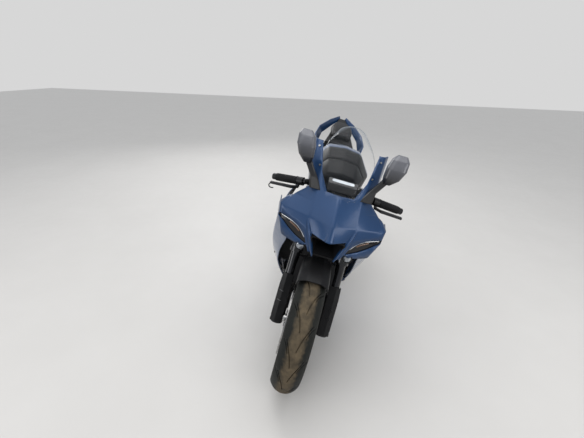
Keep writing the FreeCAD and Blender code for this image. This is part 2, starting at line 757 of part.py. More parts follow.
@once
def make_shock():
    """The rear shock absorber between the frame and the swingarm, with its spring."""
    top = Vector(0, 802, 577)
    low = Vector(0, 896, 392)
    along = low - top
    side = Vector(1, 0, 0)
    profile = [(0, 14), (0.08, 14), (0.08, 26), (0.16, 26)]
    for i in range(6):
        profile += [(0.19 + 0.1 * i, 33), (0.24 + 0.1 * i, 24)]
    profile += [(0.8, 26), (0.8, 18), (1, 18)]
    points = [top] + [top + along * share + side * r for share, r in profile] + [low]
    spring = Part.Face(plain_wire(points)).revolve(top, along, 360)
    return largest(spring.cut(make_main_frame()).cut(make_swingarm()))


@once
def make_subframe():
    """Two rails from the frame under the seats to the tail, tied across."""
    path = [Vector(112, 650, 636), Vector(90, 860, 770), Vector(74, 1000, 794), Vector(58, 1130, 800), Vector(40, 1440, 910)]
    sections = []
    for point, half in zip(path, (28, 22, 20, 18, 12)):
        sections.append(rounded_wire([point + Vector(-10, 0, -half), point + Vector(10, 0, -half),
                                      point + Vector(10, 0, half), point + Vector(-10, 0, half)], 4))
    rail = loft(sections, True)
    ties = [box_between((-84, 84), (930, 960), (766, 796)), box_between((-54, 54), (1190, 1220), (818, 834)),
            box_between((-40, 40), (1412, 1440), (900, 916))]
    return fused([rail, mirrored(rail)] + ties).cut(make_main_frame())


# Bodywork

tank_split = 552.0


@once
def tank_body():
    """The whole tank: narrow at the seat, broad and undercut at the knees."""
    sections = []
    for y, top, bottom, half_top, half_wide, wide_z in (
        (452, 968, 748, 74, 128, 900), (560, 1000, 680, 86, 158, 892), (700, 975, 660, 84, 160, 868),
        (800, 905, 716, 70, 118, 820), (850, 862, 745, 56, 88, 790)):
        points = [Vector(half_top, y, top - 6), Vector(half_wide, y, wide_z), Vector(half_wide - 34, y, bottom + 16),
                  Vector(half_wide - 60, y, bottom), Vector(-half_wide + 60, y, bottom), Vector(-half_wide + 34, y, bottom + 16),
                  Vector(-half_wide, y, wide_z), Vector(-half_top, y, top - 6), Vector(0, y, top + 6)]
        sections.append(rounded_wire(points, [34, 26, 14, 12, 12, 14, 26, 34, 60]))
    return largest(loft(sections).cut(make_main_frame()).cut(make_subframe()).cut(make_shock()))


def tank_part(y_from, y_to):
    return largest(tank_body().common(box_between((-300, 300), (y_from, y_to), (600, 1100))))


@once
def make_tank():
    """The painted tank, with a round filler cap sunk in its top."""
    tank = tank_part(tank_split + side_gap, 900)
    seat = rod(Vector(0, 640, 1200), Vector(0, 640, 985), 44)
    cap = rod(Vector(0, 640, 960), Vector(0, 640, 992), 41)
    return largest(fused([tank.cut(seat), cap]))


def make_tank_cover():
    """The black airbox cover over the front of the tank."""
    sections = []
    for y, top, bottom, half_top, half_wide, wide_z in (
        (356, 918, 858, 62, 92, 886), (400, 945, 850, 70, 112, 892), (452, 962, 846, 74, 126, 900)):
        points = [Vector(half_top, y, top - 4), Vector(half_wide, y, wide_z), Vector(half_wide - 20, y, bottom),
                  Vector(-half_wide + 20, y, bottom), Vector(-half_wide, y, wide_z), Vector(-half_top, y, top - 4),
                  Vector(0, y, top + 4)]
        sections.append(rounded_wire(points, [24, 18, 12, 12, 18, 24, 40]))
    return largest(fused([loft(sections), tank_part(440, tank_split)]))


def make_rider_seat():
    sections = []
    for y, top, half, thick in ((852, 856, 62, 40), (920, 850, 104, 44), (1020, 858, 134, 48), (1110, 884, 120, 50)):
        points = [Vector(half * 0.7, y, top), Vector(half, y, top - thick * 0.5), Vector(half * 0.92, y, top - thick),
                  Vector(-half * 0.92, y, top - thick), Vector(-half, y, top - thick * 0.5), Vector(-half * 0.7, y, top)]
        sections.append(rounded_wire(points, [20, 12, 6, 6, 12, 20]))
    return loft(sections).cut(make_subframe()).cut(make_tank())


def make_passenger_seat():
    sections = []
    for y, top, half, thick in ((1176, 956, 70, 44), (1260, 978, 88, 46), (1380, 998, 78, 46), (1440, 1004, 52, 40)):
        points = [Vector(half * 0.7, y, top), Vector(half, y, top - thick * 0.5), Vector(half * 0.9, y, top - thick),
                  Vector(-half * 0.9, y, top - thick), Vector(-half, y, top - thick * 0.5), Vector(-half * 0.7, y, top)]
        sections.append(rounded_wire(points, [18, 10, 5, 5, 10, 18]))
    return largest(loft(sections).cut(make_tail_cowl()))


@once
def make_tail_cowl():
    """The central tail body under the passenger seat, ending in a point."""
    sections = []
    for y, top, bottom, half_top, half_low in (
        (1120, 900, 812, 108, 70), (1240, 936, 862, 84, 64), (1440, 966, 920, 62, 50), (1600, 1004, 968, 30, 24)):
        points = [Vector(half_top, y, top), Vector(half_low, y, bottom), Vector(-half_low, y, bottom), Vector(-half_top, y, top)]
        sections.append(rounded_wire(points, 9))
    return loft(sections, True).cut(make_subframe())


def make_tail_wings():
    """A blade each side of the tail, free of the seat, from the side cover to the tail's tip."""
    sections = []
    for x, y, z, half, thick in ((146, 1128, 842, 34, 8), (166, 1230, 884, 32, 8), (150, 1370, 926, 28, 8), (84, 1510, 974, 24, 8), (24, 1612, 1006, 16, 8)):
        centre = Vector(x, y, z)
        lean = Vector(0.42, 0, 0.9)
        lean.normalize()
        across = Vector(0.9, 0, -0.42)
        across.normalize()
        corners = [centre + lean * half + across * thick / 2, centre - lean * half + across * thick / 2,
                   centre - lean * half - across * thick / 2, centre + lean * half - across * thick / 2]
        sections.append(rounded_wire(corners, 3))
    tab = rod(Vector(152, 1158, 858), Vector(80, 1158, 858), 8)
    return both_sides(largest(fused([loft(sections, True), tab]).cut(make_tail_cowl())))


def make_tail_lamp():
    sections = []
    for y, z, half, tall in ((1540, 966, 30, 20), (1604, 980, 26, 18)):
        points = [Vector(half, y, z), Vector(half * 0.8, y, z - tall), Vector(-half * 0.8, y, z - tall), Vector(-half, y, z)]
        sections.append(rounded_wire(points, 4))
    return loft(sections, True).cut(make_tail_cowl())


def make_rear_fender():
    """The rear mudguard's arm behind the tail, with an indicator on each side."""
    arm = side_prism([(1420, 914), (1500, 926), (1560, 880), (1660, 760), (1752, 640), (1738, 630), (1640, 728), (1530, 850), (1440, 884)], -32, 32, 10)
    plate = side_prism([(1680, 700), (1690, 706), (1755, 600), (1745, 594)], -70, 70, 3)
    stalks = [rod(Vector(s * 28, 1630, 770), Vector(s * 150, 1634, 770), 8) for s in (-1, 1)]
    lamps = [rod(Vector(s * 118, 1634, 770), Vector(s * 178, 1634, 770), 14) for s in (-1, 1)]
    return fused([arm, plate] + stalks + lamps).cut(make_subframe()).cut(make_tail_cowl())


def bow_section(z, centre_y, mid, side, rear, radius, thick):
    """A horizontal cut of the front cowl: from the left rear edge round the nose to the right rear edge."""
    right = [Vector(-x, y, z) for x, y in (mid, side, rear)]
    left = [Vector(x, y, z) for x, y in (rear, side, mid)]
    path = left + [Vector(0, centre_y, z)] + right
    return plate_wire(path, thick, radius)


def make_nose_shell(back=0.0, thick=panel):
    """The front cowl before its openings are cut, or a band of the same form set back behind it."""
    sections = []
    for z, centre_y, mid, side, rear in (
        (664, 8, (66, 20), (190, 88), (234, 250)),
        (746, -28, (80, 34), (222, 92), (245, 262)),
        (800, 16, (100, 62), (230, 112), (248, 300)),
        (850, 66, (96, 98), (190, 160), (232, 320)),
        (906, 122, (92, 136), (146, 186), (170, 300)),
        (990, 205, (104, 206), (146, 232), (172, 320)),
        (1066, 288, (112, 284), (152, 296), (170, 330))):
        sections.append(bow_section(z, centre_y + back, (mid[0], mid[1] + back), (side[0], side[1] + back),
                                    (rear[0], rear[1] + back), 30, thick))
    return loft(sections, True)


lamp_slot = ((84, 690), (92, 708), (108, 728), (135, 748), (180, 762), (224, 766), (229, 752), (205, 742),
             (176, 721), (138, 702), (94, 690))
lens_recess = ((54, 640), (82, 688), (97, 676), (112, 670), (160, 669), (212, 674), (262, 716), (330, 716), (330, 640))


def sided(outline, side):
    return [(side * x, z) for x, z in outline]


@once
def make_nose_cowl():
    """The front cowl: its air intake, and a lamp slot on each side over a cheek that ends in a point."""
    shell = make_nose_shell()
    intake = front_prism([(-73, 747), (0, 747), (73, 747), (47, 640), (-47, 640)], -100, 120)
    shell = shell.cut(intake)
    for side in (-1, 1):
        for opening in (lamp_slot, lens_recess):
            shell = shell.cut(front_prism(sided(opening, side), -100, 420))
    notch = front_prism([(130, 940), (130, 900), (150, 878), (236, 798), (420, 798), (420, 940)], 144, 420, 8)
    flank = side_prism([(204, 802), (236, 754), (262, 734), (340, 722), (340, 960), (204, 960)], 200, 420)
    for waste in (notch, mirrored(notch), flank, mirrored(flank)):
        shell = shell.cut(waste)
    screen_hole = front_prism([(-58, 900), (-98, 960), (-126, 1058), (-126, 1200), (126, 1200), (126, 1058), (98, 960), (58, 900)], -50, 420)
    return largest(shell.cut(screen_hole))


def make_windscreen():
    """A clear double-curved screen, flatter towards its top."""
    sections = []
    for y, z, tilt, half, drop in ((100, 884, 52, 62, 10), (150, 962, 48, 100, 26), (240, 1052, 36, 118, 40), (330, 1106, 24, 98, 38), (425, 1136, 16, 60, 22)):
        normal = Vector(0, -sin_deg(tilt), cos_deg(tilt))
        outer = [Vector(x, y, z) - normal * d for x, d in ((half, drop), (0, 0), (-half, drop))]
        t = 3.0
        inner = [Vector(x, y, z) - normal * (d + t) for x, d in ((-half, drop), (0, 0), (half, drop))]
        edges = [Part.Arc(*outer).toShape(), Part.LineSegment(outer[2], inner[0]).toShape(),
                 Part.Arc(*inner).toShape(), Part.LineSegment(inner[2], outer[0]).toShape()]
        sections.append(Part.Wire(edges))
    return largest(loft(sections).cut(make_nose_cowl()))


@once
def make_intake_duct():
    """The black duct behind the nose's air intake."""
    sections = []
    for y, z, half, tall in ((14, 698, 76, 42), (60, 706, 60, 32), (98, 712, 54, 30)):
        points = [Vector(half, y, z + tall), Vector(half * 0.7, y, z - tall), Vector(-half * 0.7, y, z - tall), Vector(-half, y, z + tall)]
        sections.append(rounded_wire(points, 8))
    outer = loft(sections, True)
    inner_sections = []
    for y, z, half, tall in ((6, 698, 72, 38), (60, 706, 56, 28), (94, 712, 50, 26)):
        points = [Vector(half, y, z + tall), Vector(half * 0.7, y, z - tall), Vector(-half * 0.7, y, z - tall), Vector(-half, y, z + tall)]
        inner_sections.append(rounded_wire(points, 6))
    return largest(outer.cut(loft(inner_sections, True)).cut(make_nose_cowl()))


lamp_depth = 18.0
lens_radius = 21.0
lens_at = Vector(104, 46, 664)


def make_lamps():
    """A lamp band behind each slot, shaped as the cowl, with the main lens under its inner end."""
    band = make_nose_shell(side_gap, -lamp_depth)
    outline = ((72, 682), (84, 712), (104, 738), (135, 760), (180, 773), (236, 776), (238, 746), (205, 732),
               (176, 710), (138, 692), (104, 684))
    lamp = band.common(front_prism(sided(outline, 1), -100, 200))
    lens = rod(lens_at, lens_at + Vector(0, 30, 4), lens_radius)
    tower = box_between((88, 120), (52, 78), (664, 700))
    unit = fused([lamp, lens, tower]).cut(make_nose_cowl()).cut(make_intake_duct())
    return both_sides(largest(unit))


def middle_of_panel(shell, y, z):
    """How far out a panel lies, on a line across the machine."""
    across = shell.common(Part.makeLine(Vector(20, y, z), Vector(400, y, z)))
    return (across.BoundBox.XMin + across.BoundBox.XMax) / 2


def side_section(z, front, peak, rear, end):
    path = [Vector(x, y, z) for x, y in (end, rear, peak, front)]
    return plate_wire(path, panel, 40)


def make_side_cowl(sign):
    """A side cowl: open in front round the wheel and behind round the engine."""
    sections = []
    for z, front, peak, rear, end in (
        (203, (104, 400), (128, 470), (160, 620), (150, 800)),
        (300, (136, 330), (168, 420), (196, 600), (190, 790)),
        (420, (178, 270), (214, 350), (222, 540), (204, 760)),
        (560, (176, 190), (238, 280), (226, 480), (206, 700)),
        (660, (166, 120), (236, 220), (226, 420), (196, 640)),
        (760, (196, 110), (238, 200), (214, 400), (176, 600))):
        sections.append(side_section(z, front, peak, rear, end))
    shell = loft(sections)
    outline = [(132, 676), (200, 706), (250, 722), (330, 736), (560, 770), (600, 730), (470, 600), (520, 430), (700, 380),
               (760, 300), (740, 203.5), (380, 203.5), (330, 300), (285, 410), (200, 540), (120, 650)]
    window = side_prism(outline, 0, 400, 20)
    cowl = shell.common(window)
    stays = [rod(Vector(x, y, z), Vector(middle_of_panel(cowl, y, z), y, z), 8) for x, y, z in ((112, 440, 670), (120, 640, 250))]
    cowl = fused([cowl] + stays).cut(make_main_frame()).cut(make_engine())
    cowl = largest(cowl.cut(make_nose_cowl()).cut(make_belly_pan()))
    return cowl if sign > 0 else mirrored(cowl)


@once
def make_belly_pan():
    """The lower cowl: a trough under the exhaust, cut off at an angle at the back."""
    sections = []
    for y, half, floor_z, rim in ((400, 104, 160, 204), (470, 128, 140, 204), (620, 160, 132, 204), (800, 150, 134, 204), (880, 124, 150, 204)):
        outer = [Vector(half, y, rim), Vector(half * 0.86, y, floor_z + 22), Vector(half * 0.4, y, floor_z), Vector(-half * 0.4, y, floor_z),
                 Vector(-half * 0.86, y, floor_z + 22), Vector(-half, y, rim)]
        t = panel
        inner = [Vector(-half + t, y, rim), Vector(-half * 0.86 + t, y, floor_z + 22 + t), Vector(-half * 0.4, y, floor_z + t),
                 Vector(half * 0.4, y, floor_z + t), Vector(half * 0.86 - t, y, floor_z + 22 + t), Vector(half - t, y, rim)]
        sections.append(rounded_wire(outer + inner, [1, 14, 20, 20, 14, 1, 1, 12, 18, 18, 12, 1]))
    return largest(loft(sections, True).cut(exhaust_outlet(29)))


def make_mirror(sign):
    """A mirror: a foot on the cowl, a tapered arm and a broad shell folded up, with the glass set in its back."""
    arm_sections = []
    for centre, wide, deep in ((Vector(108, 142, 898), 54, 34), (Vector(128, 164, 938), 32, 18), (Vector(156, 176, 978), 30, 18),
                               (Vector(174, 182, 1004), 34, 22)):
        arm_sections.append(slab_wire(centre, wide, deep, 6))
    arm = loft(arm_sections, True)
    head_sections = []
    for centre, wide, deep, radius in ((Vector(170, 178, 984), 34, 22, 8), (Vector(182, 176, 1014), 64, 52, 16),
                                       (Vector(192, 184, 1054), 80, 60, 20), (Vector(199, 196, 1090), 70, 46, 16),
                                       (Vector(202, 204, 1108), 40, 18, 7)):
        head_sections.append(slab_wire(centre, wide, deep, radius))
    head = loft(head_sections, True)
    body = largest(fused([arm, head]).cut(make_nose_cowl()))
    return body if sign > 0 else mirrored(body)


def slab_wire(centre, wide, deep, radius):
    """A rounded rectangle, level, round a point."""
    corners = [(-0.5, -0.5), (0.5, -0.5), (0.5, 0.5), (-0.5, 0.5)]
    return rounded_wire([centre + Vector(wide * a, deep * b, 0) for a, b in corners], radius)


def make_instrument_panel():
    body = side_prism([(146, 898), (150, 934), (176, 950), (196, 938), (188, 898)], -62, 62, 6)
    return body


def make_cowl_stay():
    """The stay from the steering head that carries the front cowl, the panel and the mirrors."""
    spine = side_prism([(112, 742), (112, 862), (128, 898), (184, 898), (184, 886), (150, 862), (150, 790), (240, 790),
                        (225, 745)], -26, 26, 5)
    wings = box_between((-136, 136), (112, 136), (846, 862))
    return largest(fused([spine, wings]).cut(make_main_frame()).cut(make_nose_cowl()))


def make_footrests():
    """A bracket behind the frame on each side with the peg and its pedal."""
    bracket = side_prism([(820, 430), (860, 430), (975, 400), (965, 345), (925, 336), (880, 350), (850, 400)], 160, 172, 8)
    lug = rod(Vector(150, 842, 416), Vector(162, 842, 416), 12)
    peg = rod(Vector(168, 945, 372), Vector(262, 945, 366), 11)
    pedal = side_prism([(800, 318), (812, 332), (952, 376), (952, 358)], 170, 178, 3)
    toe = rod(Vector(172, 808, 324), Vector(224, 808, 322), 8)
    return both_sides(fused([bracket, lug, peg, pedal, toe]))


def make_side_stand(foot_centre, floor_normal):
    """A leg from the pivot to a foot whose sole lies on the floor."""
    leg_end = foot_centre + floor_normal * 9
    leg = rod(stand_pivot, leg_end, stand_leg_radius)
    eye = rod(stand_pivot - stand_axis * (stand_gap - side_gap), stand_pivot + stand_axis * (stand_gap - side_gap), 19)
    pad = Part.makeCylinder(27, 9, foot_centre, floor_normal)
    hole = rod(stand_pivot - stand_axis * 20, stand_pivot + stand_axis * 20, stand_pin + running_gap)
    return fused([leg, eye, pad]).cut(hole)


# How the machine stands

def tyre_bottom(centre, axis, radius, crown):
    """The lowest point of a tyre whose crown is an arc, for any direction of its axle."""
    return centre.z - (radius - crown) * math.sqrt(1 - axis.z * axis.z) - crown


def crown_radius(radius, width, shoulder):
    drop = radius - shoulder
    return ((width / 2) ** 2 + drop ** 2) / (2 * drop)


def steer_placement(angle):
    foot = Vector(0, -trail, 0)
    return Placement(Vector(0, 0, 0), Rotation(fork_up, angle), foot)


def parked_placement():
    """Leans the machine to the left, then pitches and lifts it until both tyres touch the floor."""
    steer = steer_placement(parked_steer)
    front_crown = crown_radius(front_radius, front_width, front_shoulder)
    rear_crown = crown_radius(rear_radius, rear_width, rear_shoulder)
    pitch = 0.0
    lift = 0.0
    for _ in range(6):
        turn = Rotation(Vector(0, 1, 0), lean_angle).multiply(Rotation(Vector(1, 0, 0), pitch))
        stand = Placement(Vector(0, 0, lift), turn)
        front_dir = turn.multVec(steer.Rotation.multVec(Vector(1, 0, 0)))
        rear_dir = turn.multVec(Vector(1, 0, 0))
        front_low = tyre_bottom(stand.multVec(steer.multVec(front_axle)), front_dir, front_radius, front_crown)
        rear_low = tyre_bottom(stand.multVec(rear_axle), rear_dir, rear_radius, rear_crown)
        pitch += math.degrees((front_low - rear_low) / wheelbase)
        lift -= front_low
    return stand


def build():
    """Every piece by name, as (shape, turns with the fork)."""
    parked = parked_placement()
    back = parked.inverse()
    normal = back.Rotation.multVec(Vector(0, 0, 1))
    low_point = parked.multVec(Vector(stand_foot_x, stand_foot_y, 62))
    foot = back.multVec(Vector(low_point.x, low_point.y, 0))
    chassis = {
        "main_frame": make_main_frame(),
        "engine": make_engine(),
        "radiator": make_radiator(),
        "exhaust": make_exhaust(),
        "silencer": make_silencer(),
        "swingarm": make_swingarm(),
        "pivot_shaft": make_pivot_shaft(),
        "rear_axle": make_rear_axle(),
        "rear_caliper": make_rear_caliper(),
        "drive_chain": make_chain(),
        "shock_absorber": make_shock(),
        "subframe": make_subframe(),
        "fuel_tank": make_tank(),
        "tank_cover": make_tank_cover(),
        "rider_seat": make_rider_seat(),
        "passenger_seat": make_passenger_seat(),
        "tail_cowl": make_tail_cowl(),
        "tail_wings": make_tail_wings(),
        "tail_lamp": make_tail_lamp(),
        "rear_fender": make_rear_fender(),
        "nose_cowl": make_nose_cowl(),
        "windscreen": make_windscreen(),
        "intake_duct": make_intake_duct(),
        "lamps": make_lamps(),
        "side_cowl_left": make_side_cowl(1),
        "side_cowl_right": make_side_cowl(-1),
        "belly_pan": make_belly_pan(),
        "mirror_left": make_mirror(1),
        "mirror_right": make_mirror(-1),
        "instrument_panel": make_instrument_panel(),
        "cowl_stay": make_cowl_stay(),
        "footrests": make_footrests(),
        "rear_wheel": make_rear_wheel(),
        "rear_tyre": make_rear_tyre(),
        "rear_disc": make_rear_disc(),
        "rear_sprocket": make_rear_sprocket(),
        "side_stand": make_side_stand(foot, normal),
    }
    fork = {
        "fork_legs": make_fork_legs(),
        "front_axle": make_front_axle(),
        "yokes": make_yokes(),
        "handlebars": make_handlebars(),
        "grips": make_grips(),
        "levers": make_levers(),
        "front_fender": make_front_fender(),
        "fork_guards": make_fork_guards(),
        "front_calipers": make_front_calipers(),
        "front_wheel": make_front_wheel(),
        "front_tyre": make_front_tyre(),
        "front_discs": make_front_discs(),
    }
    pieces = {}
    for name, shape in chassis.items():
        pieces[name] = shape.copy()
        pieces[name].Placement = parked.multiply(shape.Placement)
    turned_fork = parked.multiply(steer_placement(parked_steer))
    for name, shape in fork.items():
        pieces[name] = shape.copy()
        pieces[name].Placement = turned_fork.multiply(shape.Placement)
    return pieces, parked, turned_fork


def centred(pieces):
    """The move that puts the origin at the bottom centre of all pieces."""
    whole = FreeCAD.BoundBox()
    for shape in pieces.values():
        whole.add(shape.optimalBoundingBox(False, False))
    return Vector(-(whole.XMin + whole.XMax) / 2, -(whole.YMin + whole.YMax) / 2, 0)


pieces, parked, turned_fork = build()
shift = centred(pieces)
os.makedirs("parts", exist_ok=True)
for name, shape in pieces.items():
    shape.translate(shift)
    shape.exportStep("parts/" + name + ".step")
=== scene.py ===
import bpy, bmesh, json
from math import asin, atan2, copysign, cos, exp, hypot, pi, radians, sin, sqrt
from mathutils import Matrix, Vector
from mathutils.bvhtree import BVHTree


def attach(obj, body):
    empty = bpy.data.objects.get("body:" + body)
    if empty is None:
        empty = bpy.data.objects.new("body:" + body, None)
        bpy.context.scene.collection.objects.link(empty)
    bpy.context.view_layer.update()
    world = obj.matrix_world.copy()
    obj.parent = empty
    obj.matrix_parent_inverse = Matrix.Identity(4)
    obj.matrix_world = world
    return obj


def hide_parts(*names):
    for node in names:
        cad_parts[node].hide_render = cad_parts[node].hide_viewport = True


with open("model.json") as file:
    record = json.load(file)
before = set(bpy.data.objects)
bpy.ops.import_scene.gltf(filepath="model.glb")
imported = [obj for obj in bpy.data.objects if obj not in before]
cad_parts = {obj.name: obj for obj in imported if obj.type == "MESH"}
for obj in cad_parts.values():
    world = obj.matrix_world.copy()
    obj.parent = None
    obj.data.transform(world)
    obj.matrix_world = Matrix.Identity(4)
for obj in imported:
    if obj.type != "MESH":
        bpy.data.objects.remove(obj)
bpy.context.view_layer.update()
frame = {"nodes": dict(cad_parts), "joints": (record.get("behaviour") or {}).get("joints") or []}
nodes = frame["nodes"]
joints = {joint["name"]: joint for joint in frame["joints"]}
print("frame loaded,", len(nodes), "nodes")

# The upright machine and where it stands
# Pieces are drawn on the upright machine (x to the rider's left, y to the rear, z up, metres,
# origin on the ground under the front axle) and put in place by one matrix for each body.
machine = {"rake": radians(24.0), "wheelbase": 1.405, "frontRadius": 0.3, "rearRadius": 0.32}
sides = ((-1, "Right"), (1, "Left"))


def bodyMatrix(wheelJoint, uprightAxle):
    # The wheel's own axle and the steering axis give the three directions of a body.
    side = Vector(joints[wheelJoint]["axis"]).normalized()
    stem = Vector(joints["steering"]["axis"]).normalized()
    ahead = side.cross(stem).normalized()
    stem = ahead.cross(side)
    s, c = sin(machine["rake"]), cos(machine["rake"])
    turn = Matrix((side, stem * s - ahead * c, stem * c + ahead * s)).transposed().to_4x4()
    return Matrix.Translation(Vector(joints[wheelJoint]["pos_m"]) - turn @ uprightAxle) @ turn


frontAxle = Vector((0, 0, machine["frontRadius"]))
rearAxle = Vector((0, machine["wheelbase"], machine["rearRadius"]))
chassisPlace = bodyMatrix("rear_wheel_spin", rearAxle)
forkPlace = bodyMatrix("front_wheel_spin", frontAxle)
frontHub = forkPlace @ Matrix.Translation(frontAxle)
rearHub = chassisPlace @ Matrix.Translation(rearAxle)
wheels = (("front", frontHub, "front_wheel_set"), ("rear", rearHub, "rear_wheel_set"))
rakeUp = Vector((0, sin(machine["rake"]), cos(machine["rake"])))
rakeBack = Vector((0, rakeUp.z, -rakeUp.y))


def onFork(x, along, back=0.0):
    # A point by its distance up the fork from the axle and its distance behind the fork's line.
    return Vector((x, 0, machine["frontRadius"])) + rakeUp * along + rakeBack * back


def onWheel(x, radius, angle):
    return Vector((x, radius * sin(angle), radius * cos(angle)))


def ringPoints(x, radius, count, start=0.0):
    # Points at equal steps round an axle.
    return [onWheel(x, radius, 2 * pi * i / count + start) for i in range(count)]


def addObject(name, data):
    item = bpy.data.objects.new(name, data)
    bpy.context.scene.collection.objects.link(item)
    return item


def meshOf(bm, name):
    mesh = bpy.data.meshes.new(name)
    bm.to_mesh(mesh)
    bm.free()
    return mesh


def evaluated(item):
    # The mesh that an object's modifiers or curve make.
    bpy.context.view_layer.update()
    return bpy.data.meshes.new_from_object(item.evaluated_get(bpy.context.evaluated_depsgraph_get()))


# Camera
view = {"fromFrontAxle": (0.0741, -1.1614, 1.0657), "yaw": 6.246, "pitch": 25.07, "roll": 1.963,
        "focalPixels": 327.1, "framePixels": 584.0, "sensor": 36.0, "near": 0.05, "far": 60}


def makeCamera():
    yaw, pitch, roll = (radians(view[key]) for key in ("yaw", "pitch", "roll"))
    ahead = Vector((-sin(yaw) * cos(pitch), cos(yaw) * cos(pitch), -sin(pitch)))
    level = Vector((cos(yaw), sin(yaw), 0))
    rise = level.cross(ahead)
    right = cos(roll) * level + sin(roll) * rise
    top = -sin(roll) * level + cos(roll) * rise
    data = bpy.data.cameras.new("photoCamera")
    data.sensor_width = view["sensor"]
    data.lens = view["focalPixels"] / view["framePixels"] * view["sensor"]
    data.clip_start, data.clip_end = view["near"], view["far"]
    camera = addObject("photoCamera", data)
    place = Vector(joints["front_wheel_spin"]["pos_m"]) + Vector(view["fromFrontAxle"])
    camera.matrix_world = Matrix.Translation(place) @ Matrix((right, top, -ahead)).transposed().to_4x4()
    bpy.context.scene.camera = camera


makeCamera()

# Light and floor
studio = {
    "sky": (0.93, 0.96, 1.0), "skyLevel": 0.55, "backdrop": (0.8, 0.8, 0.8), "backdropLevel": 0.85,
    "floor": (0.6, 0.585, 0.565), "floorShade": (0.565, 0.55, 0.53), "floorHalf": 14, "floorCells": 8,
    "sunLevel": 0.9, "sunSpread": radians(70), "sunTurn": (radians(12), radians(-10), 0),
    "lamps": (  # name, place, aimed at, width, height, watts
        ("overhead", (0.3, 0.2, 3.4), (0, 0, 0.6), 3.2, 2.6, 40),
        ("behind", (-1.8, 3.2, 2.6), (0, 0.2, 0.7), 1.6, 1.6, 40),
        ("frontLeft", (2.6, -2.6, 1.9), (0, -0.2, 0.6), 1.8, 1.6, 34),
        ("frontRight", (-2.8, -2.4, 1.6), (0, -0.2, 0.6), 1.6, 1.6, 26))}


def makeStudio():
    scene = bpy.context.scene
    scene.view_settings.view_transform = "Standard"
    scene.world = bpy.data.worlds.new("studioSky")
    scene.world.use_nodes = True
    tree = scene.world.node_tree
    sky, seen = tree.nodes["Background"], tree.nodes.new("ShaderNodeBackground")
    for node, key in ((sky, "sky"), (seen, "backdrop")):
        node.inputs["Color"].default_value = (*studio[key], 1)
        node.inputs["Strength"].default_value = studio[key + "Level"]
    path, pick = tree.nodes.new("ShaderNodeLightPath"), tree.nodes.new("ShaderNodeMixShader")
    for output, target in ((path.outputs["Is Camera Ray"], pick.inputs["Fac"]),
                           (sky.outputs["Background"], pick.inputs[1]),
                           (seen.outputs["Background"], pick.inputs[2]),
                           (pick.outputs["Shader"], tree.nodes["World Output"].inputs["Surface"])):
        tree.links.new(output, target)
    for name, place, aim, width, height, watts in studio["lamps"]:
        data = bpy.data.lights.new(name, "AREA")
        data.shape = "RECTANGLE"
        data.size, data.size_y, data.energy = width, height, watts
        lamp = addObject(name, data)
        lamp.location = place
        lamp.rotation_euler = (Vector(aim) - Vector(place)).to_track_quat("-Z", "Y").to_euler()
    data = bpy.data.lights.new("evenTop", "SUN")  # keeps the far floor as pale as the near one
    data.energy, data.angle = studio["sunLevel"], studio["sunSpread"]
    addObject("evenTop", data).rotation_euler = studio["sunTurn"]


def makeFloor(material):
    bm = bmesh.new()
    cells = studio["floorCells"]
    bmesh.ops.create_grid(bm, x_segments=cells, y_segments=cells, size=studio["floorHalf"])
    floor = addObject("floor", meshOf(bm, "floor"))
    floor.data.materials.append(material)


# Finishes
class Nodes:
    # A short hand for one material's node tree.
    def __init__(self, name):
        self.material = bpy.data.materials.new(name)
        self.material.use_nodes = True
        self.tree = self.material.node_tree
        self.shader = self.tree.nodes["Principled BSDF"]

    def fill(self, node, values):
        # Sets inputs: a node's output is linked, a tuple is a colour, anything else is taken as it is.
        for key, value in values.items():
            if isinstance(value, bpy.types.NodeSocket):
                self.tree.links.new(value, node.inputs[key])
            else:
                node.inputs[key].default_value = (*value, 1) if isinstance(value, tuple) else value

    def shade(self, values):
        self.fill(self.shader, values)

    def add(self, kind, values, **settings):
        node = self.tree.nodes.new("ShaderNode" + kind)
        for key, value in settings.items():
            setattr(node, key, value)
        self.fill(node, values)
        return node.outputs

    def place(self, matrix=None):
        # Object coordinates, turned to a wheel's or body's own frame when a matrix is given.
        coords = self.add("TexCoord", {})["Object"]
        if matrix is None:
            return coords
        return self.add("Mapping", {"Location": matrix.translation, "Rotation": matrix.to_euler(), "Vector": coords},
                        vector_type="TEXTURE")["Vector"]

    def axes(self, coords):
        return self.add("SeparateXYZ", {"Vector": coords})

    def noise(self, coords, scale, detail=4.0):
        return self.add("TexNoise", {"Scale": scale, "Detail": detail, "Roughness": 0.55, "Vector": coords})["Fac"]

    def ramp(self, value, low, dark, high, light):
        # One colour up to a low value, another from a high one.
        output = self.add("ValToRGB", {"Fac": value})["Color"]
        for element, position, colour in zip(output.node.color_ramp.elements, (low, high), (dark, light)):
            element.position, element.color = position, (*colour, 1)
        return output

    def span(self, value, low, high, fromLow=0.0, fromHigh=1.0):
        return self.add("MapRange", {"From Min": fromLow, "From Max": fromHigh, "To Min": low, "To Max": high,
                                     "Value": value})["Result"]

    def maths(self, operation, *values):
        return self.add("Math", dict(enumerate(values)), operation=operation)["Value"]

    def mix(self, share, first, second):
        return self.add("Mix", {"Factor": share, 6: first, 7: second}, data_type="RGBA")[2]  # 6, 7, 2: its colours

    def bump(self, height, strength, distance):
        made = self.add("Bump", {"Strength": strength, "Distance": distance, "Height": height})
        self.shade({"Normal": made["Normal"]})


